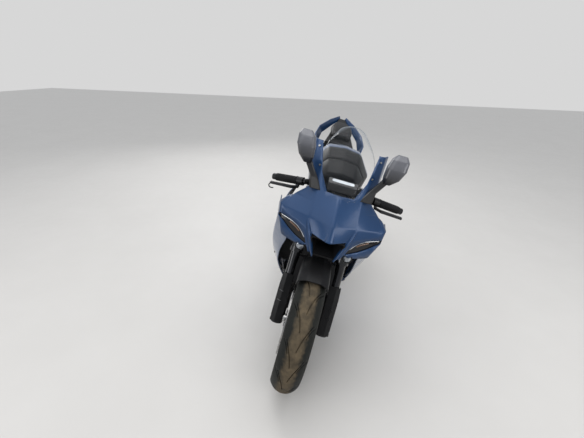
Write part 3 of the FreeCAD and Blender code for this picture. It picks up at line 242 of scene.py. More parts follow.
def surface(name, light, dark, rough, *, metal=0.0, cloud=9.0, roughSpread=0.06, grain=0.0, grainSize=900.0,
            coat=0.0, coatRough=0.06, spread=0.15, shine=0.5):
    # A finish with two close colours in soft clouds, uneven gloss and a fine grain.
    look = Nodes(name)
    coords = look.place()
    gloss = look.span(look.noise(coords, cloud * 6), rough - roughSpread, rough + roughSpread, 0.3, 0.7)
    look.shade({"Base Color": look.ramp(look.noise(coords, cloud), 0.5 - spread, dark, 0.5 + spread, light),
                "Roughness": gloss, "Metallic": metal, "Specular IOR Level": shine})
    if coat:
        look.shade({"Coat Weight": coat, "Coat Roughness": coatRough})
    if grain:
        look.bump(look.noise(coords, grainSize, 2.0), grain, 0.0006)
    return look.material


discMetal = {"light": (0.58, 0.57, 0.56), "dark": (0.36, 0.35, 0.34), "rough": (0.22, 0.4), "rings": 900.0}


def brushed(name, matrix):
    # Machined metal with fine rings round an axle.
    look = Nodes(name)
    split = look.axes(look.place(matrix))
    flat = look.add("CombineXYZ", {"X": split["Y"], "Y": split["Z"]})["Vector"]
    length = look.add("VectorMath", {0: flat}, operation="LENGTH")["Value"]
    ring = look.add("TexNoise", {"Scale": discMetal["rings"], "Detail": 3.0, "W": length}, noise_dimensions="1D")["Fac"]
    look.shade({"Base Color": look.ramp(ring, 0.3, discMetal["dark"], 0.7, discMetal["light"]),
                "Roughness": look.span(ring, *discMetal["rough"], 0.3, 0.7), "Metallic": 1.0})
    look.bump(ring, 0.25, 0.0003)
    return look.material


tyreLook = {"dark": (0.007, 0.008, 0.007), "light": (0.013, 0.014, 0.012), "dust": (0.12, 0.092, 0.058),
            "bandFrom": 0.27, "bandTo": 0.4, "ragged": 0.022}


def tyreRubber(name, matrix, width):
    # Dark rubber with the dusty worn band down the middle of the tread.
    look = Nodes(name)
    coords = look.place(matrix)
    across = look.maths("ABSOLUTE", look.axes(coords)["X"])
    ragged = look.maths("MULTIPLY_ADD", look.noise(coords, 60.0), tyreLook["ragged"], across)
    band = look.span(ragged, 1.0, 0.0, width * tyreLook["bandFrom"], width * tyreLook["bandTo"])
    dust = look.maths("MULTIPLY", band, look.span(look.noise(coords, 35.0), 0.35, 1.0, 0.3, 0.7))
    black = look.ramp(look.noise(coords, 18.0), 0.35, tyreLook["dark"], 0.7, tyreLook["light"])
    look.shade({"Base Color": look.mix(dust, black, tyreLook["dust"]), "Roughness": look.span(dust, 0.62, 0.9),
                "Specular IOR Level": 0.2})
    look.bump(look.noise(coords, 700.0, 3.0), 0.35, 0.0006)
    return look.material


def clearSheet(name, tint, faceOn, edgeOn):
    # Thin clear plastic: see-through face on, brighter and denser towards its edges.
    look = Nodes(name)
    coords = look.place()
    bright = tuple(min(1.0, v * 1.05) for v in tint)
    angle = look.add("LayerWeight", {"Blend": 0.5})["Facing"]
    look.shade({"Base Color": look.ramp(look.noise(coords, 5.0), 0.3, tint, 0.7, bright),
                "Alpha": look.span(angle, faceOn, edgeOn, 0.62, 1.0),
                "Roughness": look.span(look.noise(coords, 40.0), 0.02, 0.05),
                "Coat Weight": 0.6, "Coat Roughness": 0.02})
    return look.material


def finned(name, light, dark, matrix, pitch):
    # Rows of thin cooling fins across the machine, and the finer waves between them; the colour darkens in the hollows
    # between fins as painted shade.
    look = Nodes(name)
    coords = look.place(matrix)
    split = look.axes(coords)
    wave = look.maths("SINE", look.maths("MULTIPLY", split["Z"], 2 * pi / pitch))
    small = look.maths("SINE", look.maths("MULTIPLY", split["X"], 2 * pi / (pitch * 0.4)))
    height = look.maths("ADD", look.span(wave, 0.0, 1.0, -0.2, 0.4), look.span(small, 0.0, 0.4, -1.0, 1.0))
    # Painted shade: dark in the hollows and light on the fin tops, by the same height as the bump.
    look.shade({"Base Color": look.ramp(height, 0.1, dark, 0.9, light),
                "Roughness": look.span(look.noise(coords, 60.0), 0.45, 0.62), "Metallic": 0.6})
    look.bump(height, 0.8, 0.002)
    return look.material


def mirrorPlastic(name, light, dark, matrix, low, high):
    # Satin grey plastic above a height, darkened below it: the dark lower part is painted shade under the lit top.
    look = Nodes(name)
    coords = look.place(matrix)
    # Painted shade: the shell goes dark below this height band while the top stays lit grey.
    litTopShare = look.span(look.axes(coords)["Z"], 0.0, 1.0, low, high)
    grey = look.ramp(look.noise(coords, 22.0), 0.35, tuple(0.85 * v for v in light), 0.65, light)
    look.shade({"Base Color": look.mix(litTopShare, dark, grey), "Roughness": look.span(look.noise(coords, 90.0), 0.28, 0.4),
                "Metallic": 0.15, "Coat Weight": 0.35, "Coat Roughness": 0.15})
    look.bump(look.noise(coords, 1100.0, 2.0), 0.15, 0.0005)
    return look.material


plainLooks = {  # light colour, dark colour, roughness, and what differs from the plainest finish
    "bluePaint": ((0.009, 0.044, 0.128), (0.007, 0.037, 0.11), 0.4,
                  dict(metal=0.3, coat=0.45, coatRough=0.18, cloud=4.0, shine=0.25)),
    "glossPaint": ((0.01, 0.048, 0.138), (0.008, 0.04, 0.12), 0.34,
                   dict(metal=0.2, coat=1.0, coatRough=0.07, cloud=4.0)),
    "blackPlastic": ((0.008, 0.008, 0.0088), (0.005, 0.005, 0.0056), 0.44,
                     dict(grain=0.25, grainSize=1500, shine=0.22)),
    "glossBlack": ((0.008, 0.008, 0.009), (0.005, 0.005, 0.006), 0.16, dict(coat=0.5, coatRough=0.03, shine=0.3)),
    "frameBlack": ((0.014, 0.014, 0.016), (0.009, 0.009, 0.01), 0.34,
                   dict(metal=0.3, grain=0.15, grainSize=1100, shine=0.35)),
    "wheelBlack": ((0.022, 0.022, 0.024), (0.015, 0.015, 0.017), 0.26, dict(metal=0.3, coat=0.5, coatRough=0.12)),
    "forkTube": ((0.024, 0.024, 0.027), (0.012, 0.012, 0.014), 0.2, dict(metal=0.7, coat=0.5)),
    "castAlloy": ((0.15, 0.15, 0.155), (0.1, 0.1, 0.105), 0.46, dict(metal=0.85, grain=0.35, grainSize=600)),
    "darkAlloy": ((0.034, 0.034, 0.036), (0.02, 0.02, 0.022), 0.38, dict(metal=0.7, grain=0.25, grainSize=700)),
    "engineCase": ((0.06, 0.06, 0.064), (0.038, 0.038, 0.041), 0.48, dict(metal=0.6, grain=0.4, grainSize=700)),
    "steel": ((0.56, 0.56, 0.55), (0.42, 0.42, 0.42), 0.28, dict(metal=1.0, cloud=30, roughSpread=0.08)),
    "chainSteel": ((0.34, 0.32, 0.28), (0.16, 0.15, 0.14), 0.4, dict(metal=1.0, cloud=120, roughSpread=0.12)),
    "heatedPipe": ((0.42, 0.36, 0.3), (0.26, 0.23, 0.22), 0.3, dict(metal=1.0, cloud=14, roughSpread=0.1)),
    "rubber": ((0.011, 0.011, 0.012), (0.007, 0.007, 0.008), 0.72, dict(grain=0.6, grainSize=1200, shine=0.25)),
    "seatVinyl": ((0.012, 0.012, 0.013), (0.008, 0.008, 0.009), 0.52, dict(grain=0.75, grainSize=1300, shine=0.28)),
    "floorPaint": (studio["floor"], studio["floorShade"], 0.5, dict(cloud=2.2, grain=0.12, grainSize=120, spread=0.35)),
    "lampShell": ((0.008, 0.008, 0.01), (0.005, 0.005, 0.006), 0.12, dict(coat=0.25, coatRough=0.04, shine=0.2)),
    "lampBright": ((0.78, 0.8, 0.82), (0.62, 0.64, 0.66), 0.16, dict(metal=0.7, coat=1.0, coatRough=0.02)),
    "lensGlass": ((0.42, 0.45, 0.48), (0.24, 0.26, 0.29), 0.06, dict(metal=0.6, coat=1.0, coatRough=0.01, cloud=40)),
    "redLens": ((0.4, 0.01, 0.012), (0.28, 0.006, 0.008), 0.14, dict(coat=0.8, coatRough=0.03)),
    "amberLens": ((0.16, 0.07, 0.03), (0.1, 0.045, 0.022), 0.22, dict(coat=0.8, coatRough=0.03)),
    "mirrorGlass": ((0.78, 0.8, 0.82), (0.72, 0.74, 0.76), 0.03, dict(metal=1.0, roughSpread=0.01)),
    # pale finish for the screen's narrow edge and the dial bar: a painted highlight
    "paintedHighlight": ((0.62, 0.66, 0.7), (0.48, 0.52, 0.56), 0.2, dict(coat=0.6, coatRough=0.05, cloud=18)),
}
finishes = {name: surface(name, *colours, **rest) for name, (*colours, rest) in plainLooks.items()}
for name, makeLook, *values in (
        ("clearScreen", clearSheet, (0.2, 0.23, 0.26), 0.018, 0.75),
        ("mirrorPlastic", mirrorPlastic, (0.125, 0.128, 0.145), (0.008, 0.008, 0.009), chassisPlace, 0.995, 1.075),
        ("radiatorFins", finned, (0.05, 0.05, 0.052), (0.006, 0.006, 0.007), chassisPlace, 0.005),
        ("brushedDisc", brushed, frontHub), ("brushedRearDisc", brushed, rearHub),
        ("frontRubber", tyreRubber, frontHub, 0.12), ("rearRubber", tyreRubber, rearHub, 0.19)):
    finishes[name] = makeLook(name, *values)
nodeFinish = {
    "bluePaint": "nose_cowl tail_wings",
    "glossPaint": "side_cowl_left side_cowl_right fuel_tank belly_pan",
    "blackPlastic": "front_fender fork_guards intake_duct tail_cowl rear_fender tank_cover cowl_stay",
    "glossBlack": "instrument_panel",
    "mirrorPlastic": "mirror_left mirror_right",
    "frameBlack": "main_frame subframe yokes handlebars footrests side_stand",
    "wheelBlack": "front_wheel rear_wheel",
    "forkTube": "fork_legs",
    "castAlloy": "swingarm rear_caliper",
    "darkAlloy": "front_calipers levers",
    "engineCase": "engine",
    "radiatorFins": "radiator",
    "steel": "front_axle rear_axle pivot_shaft rear_sprocket shock_absorber",
    "chainSteel": "drive_chain",
    "heatedPipe": "exhaust silencer",
    "rubber": "grips",
    "seatVinyl": "rider_seat passenger_seat",
    "lampShell": "lamps",
    "redLens": "tail_lamp",
    "clearScreen": "windscreen",
    "brushedDisc": "front_discs",
    "brushedRearDisc": "rear_disc",
    "frontRubber": "front_tyre",
    "rearRubber": "rear_tyre",
}


def dressNodes():
    for finish, names in nodeFinish.items():
        for name in names.split():
            slots = nodes[name].data.materials
            if not len(slots):
                slots.append(finishes[finish])
            for index in range(len(slots)):
                slots[index] = finishes[finish]


makeStudio()
makeFloor(finishes["floorPaint"])
dressNodes()
print("studio and finishes done")


# Shaping helpers
def keepPiece(bm, name, finish, body, slotName, place=None, sharp=32):
    # Puts a finished mesh in its place as a piece of its own that moves with a body.
    if place is not None:
        bm.transform(place)
    return keepMesh(meshOf(bm, name), name, finish, body, sharp)


def keepMesh(mesh, name, finish, body, sharp):
    mesh.name = name
    mesh.materials.clear()
    mesh.materials.append(finishes[finish])
    mesh.polygons.foreach_set("use_smooth", [True] * len(mesh.polygons))
    mesh.polygons.foreach_set("material_index", [0] * len(mesh.polygons))
    mesh.set_sharp_from_angle(angle=radians(sharp))
    piece = addObject(name, mesh)
    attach(piece, body)
    return piece


def nodeShape(node, weld=2e-6):
    # A node's own faces, with their doubled corners joined.
    bm = bmesh.new()
    bm.from_mesh(nodes[node].data)
    bmesh.ops.remove_doubles(bm, verts=bm.verts, dist=weld)
    return bm


def outward(bm):
    bmesh.ops.remove_doubles(bm, verts=bm.verts, dist=1e-6)
    bmesh.ops.recalc_face_normals(bm, faces=bm.faces)
    return bm


def loftRings(bm, rings):
    # Bridges closed rings of points, one after the other, and closes both ends.
    loops = []
    for ring in rings:
        verts = [bm.verts.new(point) for point in ring]
        loops.append([bm.edges.new((verts[i - 1], verts[i])) for i in range(len(verts))])
    for first, second in zip(loops, loops[1:]):
        bmesh.ops.bridge_loops(bm, edges=first + second)
    for loop in (loops[0], loops[-1]):
        bmesh.ops.edgeloop_fill(bm, edges=loop)


def spinShape(bm, profile, centre, axis, steps):
    # profile: (distance along the axis, radius) points, closed on itself
    axis = Vector(axis).normalized()
    side = axis.orthogonal().normalized()
    verts = [bm.verts.new(Vector(centre) + axis * along + side * radius) for along, radius in profile]
    edges = [bm.edges.new((verts[i - 1], verts[i])) for i in range(len(verts))]
    bmesh.ops.spin(bm, geom=verts + edges, cent=centre, axis=axis, dvec=(0, 0, 0), angle=2 * pi, steps=steps,
                   use_merge=True, use_duplicate=False)


def scaled(profile, radius):
    # A profile whose radii are given as shares of one radius.
    return [(along, radius * share) for along, share in profile]


def spinPiece(name, profile, places, steps, *kept, **more):
    # One piece with the same spun shape at each place, a centre and an axis; the rest goes to keepPiece.
    bm = bmesh.new()
    for centre, axis in places:
        spinShape(bm, profile, centre, axis, steps)
    keepPiece(outward(bm), name, *kept, **more)


forkNodes = ("fork_guards", "fork_legs", "front_calipers", "yokes")
trees = {}


def bodyOf(node):
    return "fork" if node in forkNodes else "chassis"


def hit(node, start, towards):
    # Where a straight look meets a node, which way that face looks, and the look itself. The start and
    # the direction are given on the upright machine; the answers are in the shared frame.
    place = forkPlace if node in forkNodes else chassisPlace
    if node not in trees:
        mesh = nodes[node].data
        trees[node] = BVHTree.FromPolygons([v.co for v in mesh.vertices], [p.vertices for p in mesh.polygons])
    look = (place.to_3x3() @ Vector(towards)).normalized()
    point, normal, _, _ = trees[node].ray_cast(place @ Vector(start), look)
    if point is None:
        return None, None, look
    return point, (-normal if normal.dot(look) > 0 else normal), look


capScrew = {"height": 1.1, "taper": 0.9, "rim": 0.38, "wall": 0.04, "sides": 14}  # shares of the head's radius


def addBolt(bm, at, normal, radius, proud):
    # A cap screw with a sunk socket.
    height = radius * capScrew["height"]
    turn = normal.to_track_quat("Z", "Y").to_matrix().to_4x4()
    middle = at + normal * (height * (proud - 0.5))
    made = bmesh.ops.create_cone(bm, cap_ends=True, segments=capScrew["sides"], radius1=radius,
                                 radius2=radius * capScrew["taper"], depth=height,
                                 matrix=Matrix.Translation(middle) @ turn)
    faces = {face for vert in made["verts"] for face in vert.link_faces}
    top = max(faces, key=lambda face: face.calc_center_median().dot(normal))
    for share, depth in ((capScrew["rim"], 0), (capScrew["wall"], -height * 0.5)):
        bmesh.ops.inset_region(bm, faces=[top], thickness=radius * share, depth=depth)


def boltsOn(name, node, looks, slotName="steel", finish="steel"):
    # looks: rows of start point, direction, radius, and how far the head stands proud
    bm = bmesh.new()
    for start, towards, radius, proud in looks:
        at, normal, _ = hit(node, start, towards)
        addBolt(bm, at, normal, radius, proud)
    keepPiece(bm, name, finish, bodyOf(node), slotName)


def tubeAlong(name, points, radius, finish, body, slotName, place=None):
    # A tube along a smooth line through the points' own spline.
    curve = bpy.data.curves.new(name, "CURVE")
    curve.dimensions = "3D"
    spline = curve.splines.new("NURBS")
    spline.points.add(len(points) - 1)
    for target, point in zip(spline.points, points):
        target.co = (*((place @ Vector(point)) if place is not None else Vector(point)), 1)
    spline.order_u = 3
    spline.use_endpoint_u = True
    curve.resolution_u = 8
    curve.bevel_depth = radius
    curve.bevel_resolution = 4
    curve.use_fill_caps = True
    holder = addObject(name + "Line", curve)
    mesh = evaluated(holder)
    bpy.data.objects.remove(holder)
    bm = bmesh.new()
    bm.from_mesh(mesh)
    bpy.data.meshes.remove(mesh)
    keepPiece(outward(bm), name, finish, body, slotName)


def patchOn(bm, node, at, up, half, look, squareness, across=(1, 0, 0), lift=0.0005, thick=0.0012, cells=14):
    # A thin plate that follows a node's surface: a grid with rounded corners, dropped on it along one look.
    made = bmesh.ops.create_grid(bm, x_segments=cells, y_segments=cells, size=1.0)
    faces = list({face for vert in made["verts"] for face in vert.link_faces})
    for vert in made["verts"]:
        u, v = vert.co.x, vert.co.y
        u, v = u * sqrt(1 - (1 - squareness) * v * v / 2), v * sqrt(1 - (1 - squareness) * u * u / 2)
        start = Vector(at) + Vector(across) * (u * half[0]) + Vector(up) * (v * half[1])
        found, _, ahead = hit(node, start, look)
        vert.co = found - ahead * lift
    grown = bmesh.ops.extrude_face_region(bm, geom=faces)
    bmesh.ops.translate(bm, verts=[g for g in grown["geom"] if isinstance(g, bmesh.types.BMVert)], vec=ahead * -thick)


def patchPiece(name, node, finish, slotName, spots, **patch):
    # One piece with the same patch at each spot.
    bm = bmesh.new()
    for at in spots:
        patchOn(bm, node, at, **patch)
    keepPiece(outward(bm), name, finish, bodyOf(node), slotName)


def carve(node, cutter, place, name, finish, body, sharp=32):
    # The node's own shape with the cutter's pieces taken out of it; it stands for the node.
    mesh = meshOf(nodeShape(node), name)
    cutter.transform(place)
    base = addObject(name + "Base", mesh)
    tool = addObject(name + "Tool", meshOf(outward(cutter), name + "Tool"))
    cut = base.modifiers.new("cut", "BOOLEAN")
    cut.operation, cut.solver, cut.object = "DIFFERENCE", "MANIFOLD", tool
    result = evaluated(base)
    print(name, "cut,", len(mesh.polygons), "->", len(result.polygons), "faces")
    for item in (base, tool):
        bpy.data.objects.remove(item)
    piece = keepMesh(result, name, finish, body, sharp)
    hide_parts(node)


# Tyres with their tread cut in
# Each groove: its first and last angle over the crown, its lead round the wheel, its width and its shift.
frontTread = {"crown": 0.0663714, "crownCentre": 0.2336286, "turns": 13, "depth": 0.0045,
              "grooves": ((3, 40, 21, 0.0056, 0.0), (24, 54, 10, 0.0042, 10.5))}
rearTread = {"crown": 0.1127788, "crownCentre": 0.2072212, "turns": 14, "depth": 0.005,
             "grooves": ((3, 34, 16, 0.0062, 0.0), (14, 44, 10, 0.005, 11.0), (32, 50, 6, 0.004, 4.0))}
groove = {"stations": 10, "bend": 0.16, "above": 0.004, "rollRadius": 0.29, "endWidth": 0.3}


def treadCutter(tread):
    # Each groove is a bent bar: from one arc angle over the crown to another, while the wheel turns by its lead.
    bm = bmesh.new()
    crown, middle, roll = tread["crown"], tread["crownCentre"], groove["rollRadius"]
    corners = ((-0.5, groove["above"]), (0.5, groove["above"]), (0.5, -tread["depth"]), (-0.5, -tread["depth"]))
    bars = [(side, turn, *row) for side, _ in sides for turn in range(tread["turns"]) for row in tread["grooves"]]
    for side, turn, start, end, lead, width, shift in bars:
        first = radians(360 / tread["turns"] * (turn + (0.5 if side > 0 else 0)) + shift)
        runAround, runArc = radians(lead) * roll, radians(end - start) * crown
        length = hypot(runAround, runArc)
        rings = []
        for step in range(groove["stations"] + 1):
            t = step / groove["stations"]
            bend = sin(pi * t) * groove["bend"] * radians(end - start)
            taper = groove["endWidth"] + (1 - groove["endWidth"]) * sin(pi * min(1.0, 0.14 + 0.8 * t))
            ring = []
            for w, d in corners:
                offset = w * width * taper  # across the groove, at right angles to its own run
                around = first + radians(lead) * t + offset * (runArc / length) / roll
                arc = radians(start + (end - start) * t) - bend - offset * (runAround / length) / crown
                ring.append(onWheel(side * (crown + d) * sin(arc), middle + (crown + d) * cos(arc), around))
            rings.append(ring)
        loftRings(bm, rings)
    return bm


def makeTyres():
    for (tag, hub, body), tread in zip(wheels, (frontTread, rearTread)):
        carve(tag + "_tyre", treadCutter(tread), hub, tag + "TyreCut", tag + "Rubber", body, sharp=38)


# The painted panels again, with their soft creases shaded as one moulding
smoothPanels = (  # node, piece, finish, slot, and up to what angle an edge is shaded smooth
    ("nose_cowl", "noseCowlSkin", "bluePaint", "blue_paint", 58),
    ("side_cowl_left", "sideCowlSkinLeft", "glossPaint", "blue_paint", 36),
    ("side_cowl_right", "sideCowlSkinRight", "glossPaint", "blue_paint", 36),
    ("fuel_tank", "tankSkin", "glossPaint", "blue_paint", 34),
    ("tank_cover", "tankCoverSkin", "blackPlastic", "black_plastic", 34),
    ("tail_wings", "tailWingsSkin", "bluePaint", "blue_paint", 34),
    ("mirror_left", "mirrorShellLeft", "mirrorPlastic", "grey_plastic", 70),
    ("mirror_right", "mirrorShellRight", "mirrorPlastic", "grey_plastic", 70),
    ("front_fender", "frontFenderSkin", "blackPlastic", "black_plastic", 36),
    ("belly_pan", "bellyPanSkin", "glossPaint", "blue_paint", 36))


def makePanels():
    for node, name, finish, slotName, sharp in smoothPanels:
        body = "fork" if node == "front_fender" else "chassis"
        piece = keepPiece(nodeShape(node), name, finish, body, slotName, sharp=sharp)
        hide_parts(node)


# The clear screen, its two wide faces see-through and its narrow edge painted pale as a highlight
screenFold = 35  # an edge of more degrees parts one face of the sheet from the next


def makeScreen():
    bm = nodeShape("windscreen")
    left, groups = set(bm.faces), []
    while left:
        group, waiting = set(), [left.pop()]
        while waiting:
            face = waiting.pop()
            group.add(face)
            for edge in face.edges:
                for other in edge.link_faces:
                    if other in left and edge.calc_face_angle(0) < radians(screenFold):
                        left.discard(other)
                        waiting.append(other)
        groups.append(group)
    groups.sort(key=lambda group: sum(face.calc_area() for face in group))
    narrow = {face for group in groups[:-2] for face in group}
    rim = [int(face in narrow) for face in bm.faces]
    mesh = meshOf(bm, "screenSheet")
    piece = keepMesh(mesh, "screenSheet", "clearScreen", "chassis", screenFold)
    # the narrow edge faces get the pale finish, a painted highlight
    mesh.materials.append(finishes["paintedHighlight"])
    mesh.polygons.foreach_set("material_index", rim)
    print("screen edge faces", sum(rim), "of", len(rim))
    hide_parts("windscreen")


# Brake discs with drilled rings, the pins they float on and the bolts of their carriers
discs = (
    {"node": "front_discs", "piece": "frontDiscsDrilled", "finish": "brushedDisc", "faces": (0.0645, -0.0645),
     "rows": (0.133, 0.142, 0.151), "columns": 30, "pins": (0.1255, 10), "boltFaces": (0.067, -0.067),
     "bolts": (0.034, 6)},
    {"node": "rear_disc", "piece": "rearDiscDrilled", "finish": "brushedRearDisc", "faces": (-0.1015,),
     "rows": (0.088, 0.096, 0.103), "columns": 24, "pins": (0.0835, 6), "boltFaces": (-0.104,), "bolts": (0.038, 5)})
discDetail = {"hole": 0.0034, "holeDepth": 0.014, "holeSides": 12, "twist": 4.0, "pinStart": 0.2, "bolt": 0.0052,
              "pin": ((-0.0042, 0.0025), (-0.0042, 0.0062), (-0.0034, 0.0072), (0.0034, 0.0072), (0.0042, 0.0062),
                      (0.0042, 0.0025))}


def discCutter(disc):
    bm = bmesh.new()
    turn = Matrix.Rotation(radians(90), 4, "Y")
    for x in disc["faces"]:
        for column in range(disc["columns"]):
            for row, radius in enumerate(disc["rows"]):
                at = onWheel(x, radius, radians(360 / disc["columns"] * column + discDetail["twist"] * row))
                bmesh.ops.create_cone(bm, cap_ends=True, segments=discDetail["holeSides"], radius1=discDetail["hole"],
                                      radius2=discDetail["hole"], depth=discDetail["holeDepth"],
                                      matrix=Matrix.Translation(at) @ turn)
    return bm


def makeDiscs():
    pairs = tuple(zip(wheels, discs))
    for (_, hub, body), disc in pairs:
        carve(disc["node"], discCutter(disc), hub, disc["piece"], disc["finish"], body)
    for (tag, hub, body), disc in pairs:
        places = [(centre, (1, 0, 0)) for x in disc["faces"]
                  for centre in ringPoints(x, *disc["pins"], discDetail["pinStart"])]
        spinPiece(tag + "DiscPins", discDetail["pin"], places, 16, "steel", body, "steel", hub)
    for (tag, hub, body), disc in pairs:
        bm = bmesh.new()
        for x in disc["boltFaces"]:
            for at in ringPoints(x, *disc["bolts"]):
                addBolt(bm, at, Vector((copysign(1, x), 0, 0)), discDetail["bolt"], 0.8)
        keepPiece(bm, tag + "CarrierBolts", "darkAlloy", body, "black_metal", hub)


# The two blades beside the nose's air intake
noseBlade = {"top": (0.103, 0.79), "tip": (0.046, 0.652), "proud": 0.014, "halfWide": 0.011, "stations": 12,
             "jump": 0.02, "sunk": 0.002, "ridge": 0.32, "shoulder": 0.86, "edge": 0.0009}
frontLook = -0.4  # where the looks at the nose start, ahead of it


def makeNoseBlades():
    inverse = chassisPlace.inverted()
    (topX, topZ), (tipX, tipZ) = noseBlade["top"], noseBlade["tip"]
    ahead = Vector((0, -1, 0.25)).normalized()
    for side, tag in sides:
        bm = bmesh.new()
        across = Vector((0.92, 0, -0.39 * side))
        rings, depths = [], []
        for i in range(noseBlade["stations"] + 1):
            t = i / noseBlade["stations"]
            x, z = side * (topX + (tipX - topX) * t), topZ + (tipZ - topZ) * t
            at, _, _ = hit("nose_cowl", (x, frontLook, z), (0, 1, 0))
            y = None if at is None else (inverse @ at).y
            if y is None or (depths and abs(y - depths[-1]) > noseBlade["jump"]):
                y = 2 * depths[-1] - depths[-2]  # goes straight on past an edge or a gap
            depths.append(y)
            rise = noseBlade["proud"] * sin(pi * min(0.88, 0.04 + 0.8 * t))
            half = noseBlade["halfWide"] * (0.25 + 0.75 * sin(pi * (0.15 + 0.8 * t)))
            base, low, shoulder = Vector((x, y, z)), -noseBlade["sunk"], rise * noseBlade["shoulder"]
            rings.append([base + across * (half * wide) + ahead * high for wide, high in (
                (-1, low), (-noseBlade["ridge"], shoulder), (0, rise), (noseBlade["ridge"], shoulder), (1, low))])
        loftRings(bm, rings)
        outward(bm)
        bmesh.ops.bevel(bm, geom=[e for e in bm.edges if e.calc_face_angle(0) > 0.9], offset=noseBlade["edge"],
                        offset_type="OFFSET", affect="EDGES", segments=2, profile=0.5, material=-1)
        keepPiece(bm, "noseBlade" + tag, "bluePaint", "chassis", "blue_paint", chassisPlace, sharp=40)


# Lamps: bright strip, inner reflector and main lens on each side
lampDetail = {
    "sunk": 0.45, "lens": (0.104, 0.664), "lensRadius": 0.021, "lensLook": (0, -1, 0.15),
    "ring": ((-0.003, 0.8), (-0.003, 0.99), (0.0015, 1.03), (0.0045, 0.99), (0.005, 0.9), (0.001, 0.8)),
    "glassRadius": 0.84, "glassFlat": 0.42, "glassAhead": (0, -0.0005, 0),
    "tubes": (  # piece, radius, finish, path
        ("lampStrip", 0.0022, "lampBright",
         ((0.098, 0.712), (0.116, 0.732), (0.138, 0.748), (0.176, 0.757), (0.214, 0.76))),
        ("lampReflector", 0.0036, "amberLens", ((0.124, 0.727), (0.146, 0.741), (0.172, 0.748))))}


def makeLamps():
    radius = lampDetail["lensRadius"]
    for side, tag in sides:
        for name, half, finish, path in lampDetail["tubes"]:
            found = [hit("lamps", (side * x, frontLook, z), (0, 1, 0)) for x, z in path]
            points = [at - normal * half * lampDetail["sunk"] for at, normal, _ in found]
            tubeAlong(name + tag, points, half, finish, "chassis", "lamp")
        x, z = lampDetail["lens"]
        centre = chassisPlace.inverted() @ hit("lamps", (side * x, frontLook, z), (0, 1, 0))[0]
        spinPiece("lensRing" + tag, scaled(lampDetail["ring"], radius), [(centre, lampDetail["lensLook"])], 36,
                  "glossBlack", "chassis", "black_plastic", chassisPlace)
        bm = bmesh.new()
        bmesh.ops.create_uvsphere(bm, u_segments=32, v_segments=20, radius=radius * lampDetail["glassRadius"])
        bmesh.ops.scale(bm, vec=(1, lampDetail["glassFlat"], 1), verts=bm.verts)
        bmesh.ops.translate(bm, vec=centre + Vector(lampDetail["glassAhead"]), verts=bm.verts)
        keepPiece(bm, "lens" + tag, "lensGlass", "chassis", "lamp", chassisPlace)


# Screws on the front: screen foot and side cowls
cowlScrew = {"screen": ((0.138, -0.027, 1.043), (0.114, -0.113, 0.98)), "screenHead": (0.0048, 0.75),
             "side": ((0.3, 0.64), (0.33, 0.42), (0.45, 0.69), (0.43, 0.26), (0.6, 0.25), (0.56, 0.36)),
             "sideFrom": 0.5, "sideHead": (0.005, 0.45)}


def makeCowlScrews():
    looks = [((side * x, y, z), (0, 1, 0), *cowlScrew["screenHead"])
             for side, _ in sides for x, y, z in cowlScrew["screen"]]
    boltsOn("screenScrews", "nose_cowl", looks)
    for side, tag in sides:
        looks = [((side * cowlScrew["sideFrom"], y, z), (-side, 0, 0), *cowlScrew["sideHead"])
                 for y, z in cowlScrew["side"]]
        boltsOn("cowlScrews" + tag, "side_cowl_" + tag.lower(), looks, "black_metal", "darkAlloy")


# Padded seats
seatPad = {"voxel": 0.006, "shrink": 0.003, "pressure": 4.0, "cap": 0.0055, "frames": 20, "quality": 5, "weld": 1e-5}


def swell(pad):
    # Blows the pad up as cloth, and holds back what moves further than the cap.
    scene, before = bpy.context.scene, [v.co.copy() for v in pad.data.vertices]
    cloth = pad.modifiers.new("cloth", "CLOTH")
    cloth.settings.quality = seatPad["quality"]
    cloth.settings.use_pressure = True
    cloth.settings.uniform_pressure_force = seatPad["pressure"]
    cloth.settings.effector_weights.gravity = 0
    cloth.point_cache.frame_start, cloth.point_cache.frame_end = 1, seatPad["frames"]
    for number in range(1, seatPad["frames"] + 1):
        scene.frame_set(number)
    swollen = evaluated(pad)
    pad.modifiers.clear()
    scene.frame_set(1)
    pad.data = swollen
    for vert, start in zip(swollen.vertices, before):
        move = vert.co - start
        if move.length > seatPad["cap"]:
            vert.co = start + move * (seatPad["cap"] / move.length)


def makePad(node, name, seams):
    bm = nodeShape(node, seatPad["weld"])
    bmesh.ops.recalc_face_normals(bm, faces=bm.faces)
    for vert in bm.verts:
        vert.co -= vert.normal * seatPad["shrink"]
    pad = addObject(name + "Soft", meshOf(bm, name))
    remesh = pad.modifiers.new("remesh", "REMESH")
    remesh.mode, remesh.voxel_size = "VOXEL", seatPad["voxel"]
    rested = evaluated(pad)
    pad.modifiers.clear()
    pad.data = rested
    swell(pad)
    bm = bmesh.new()
    bm.from_mesh(pad.data)
    bpy.data.objects.remove(pad)
    for _ in range(3):
        bmesh.ops.smooth_vert(bm, verts=bm.verts, factor=0.5, use_axis_x=True, use_axis_y=True, use_axis_z=True)
    bmesh.ops.subdivide_edges(bm, edges=bm.edges, cuts=1, use_grid_fill=True, smooth=0.0)
    bmesh.ops.recalc_face_normals(bm, faces=bm.faces)
    inverse = chassisPlace.inverted()
    for vert in bm.verts:
        at = inverse @ vert.co
        pull = max(seam(at) for seam in seams)
        if pull:
            vert.co -= vert.normal * pull
    piece = keepPiece(bm, name, "seatVinyl", "chassis", "seat", sharp=180)
    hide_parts(node)


seam = {"depth": 0.0022, "width": 0.0045, "sideDepth": 0.0018, "sideWidth": 0.004}


def seamAcross(y, lowZ, bow):
    # A sewn channel across the seat's top, bowed at its ends.
    def pull(at):
        return seam["depth"] * exp(-((at.y - y - bow * at.x * at.x) / seam["width"]) ** 2) if at.z > lowZ else 0.0
    return pull


def seamRound(inset):
    # A sewn line along both sides of the top panel.
    return lambda at: seam["sideDepth"] * exp(-((abs(at.x) - inset(at.y)) / seam["sideWidth"]) ** 2)


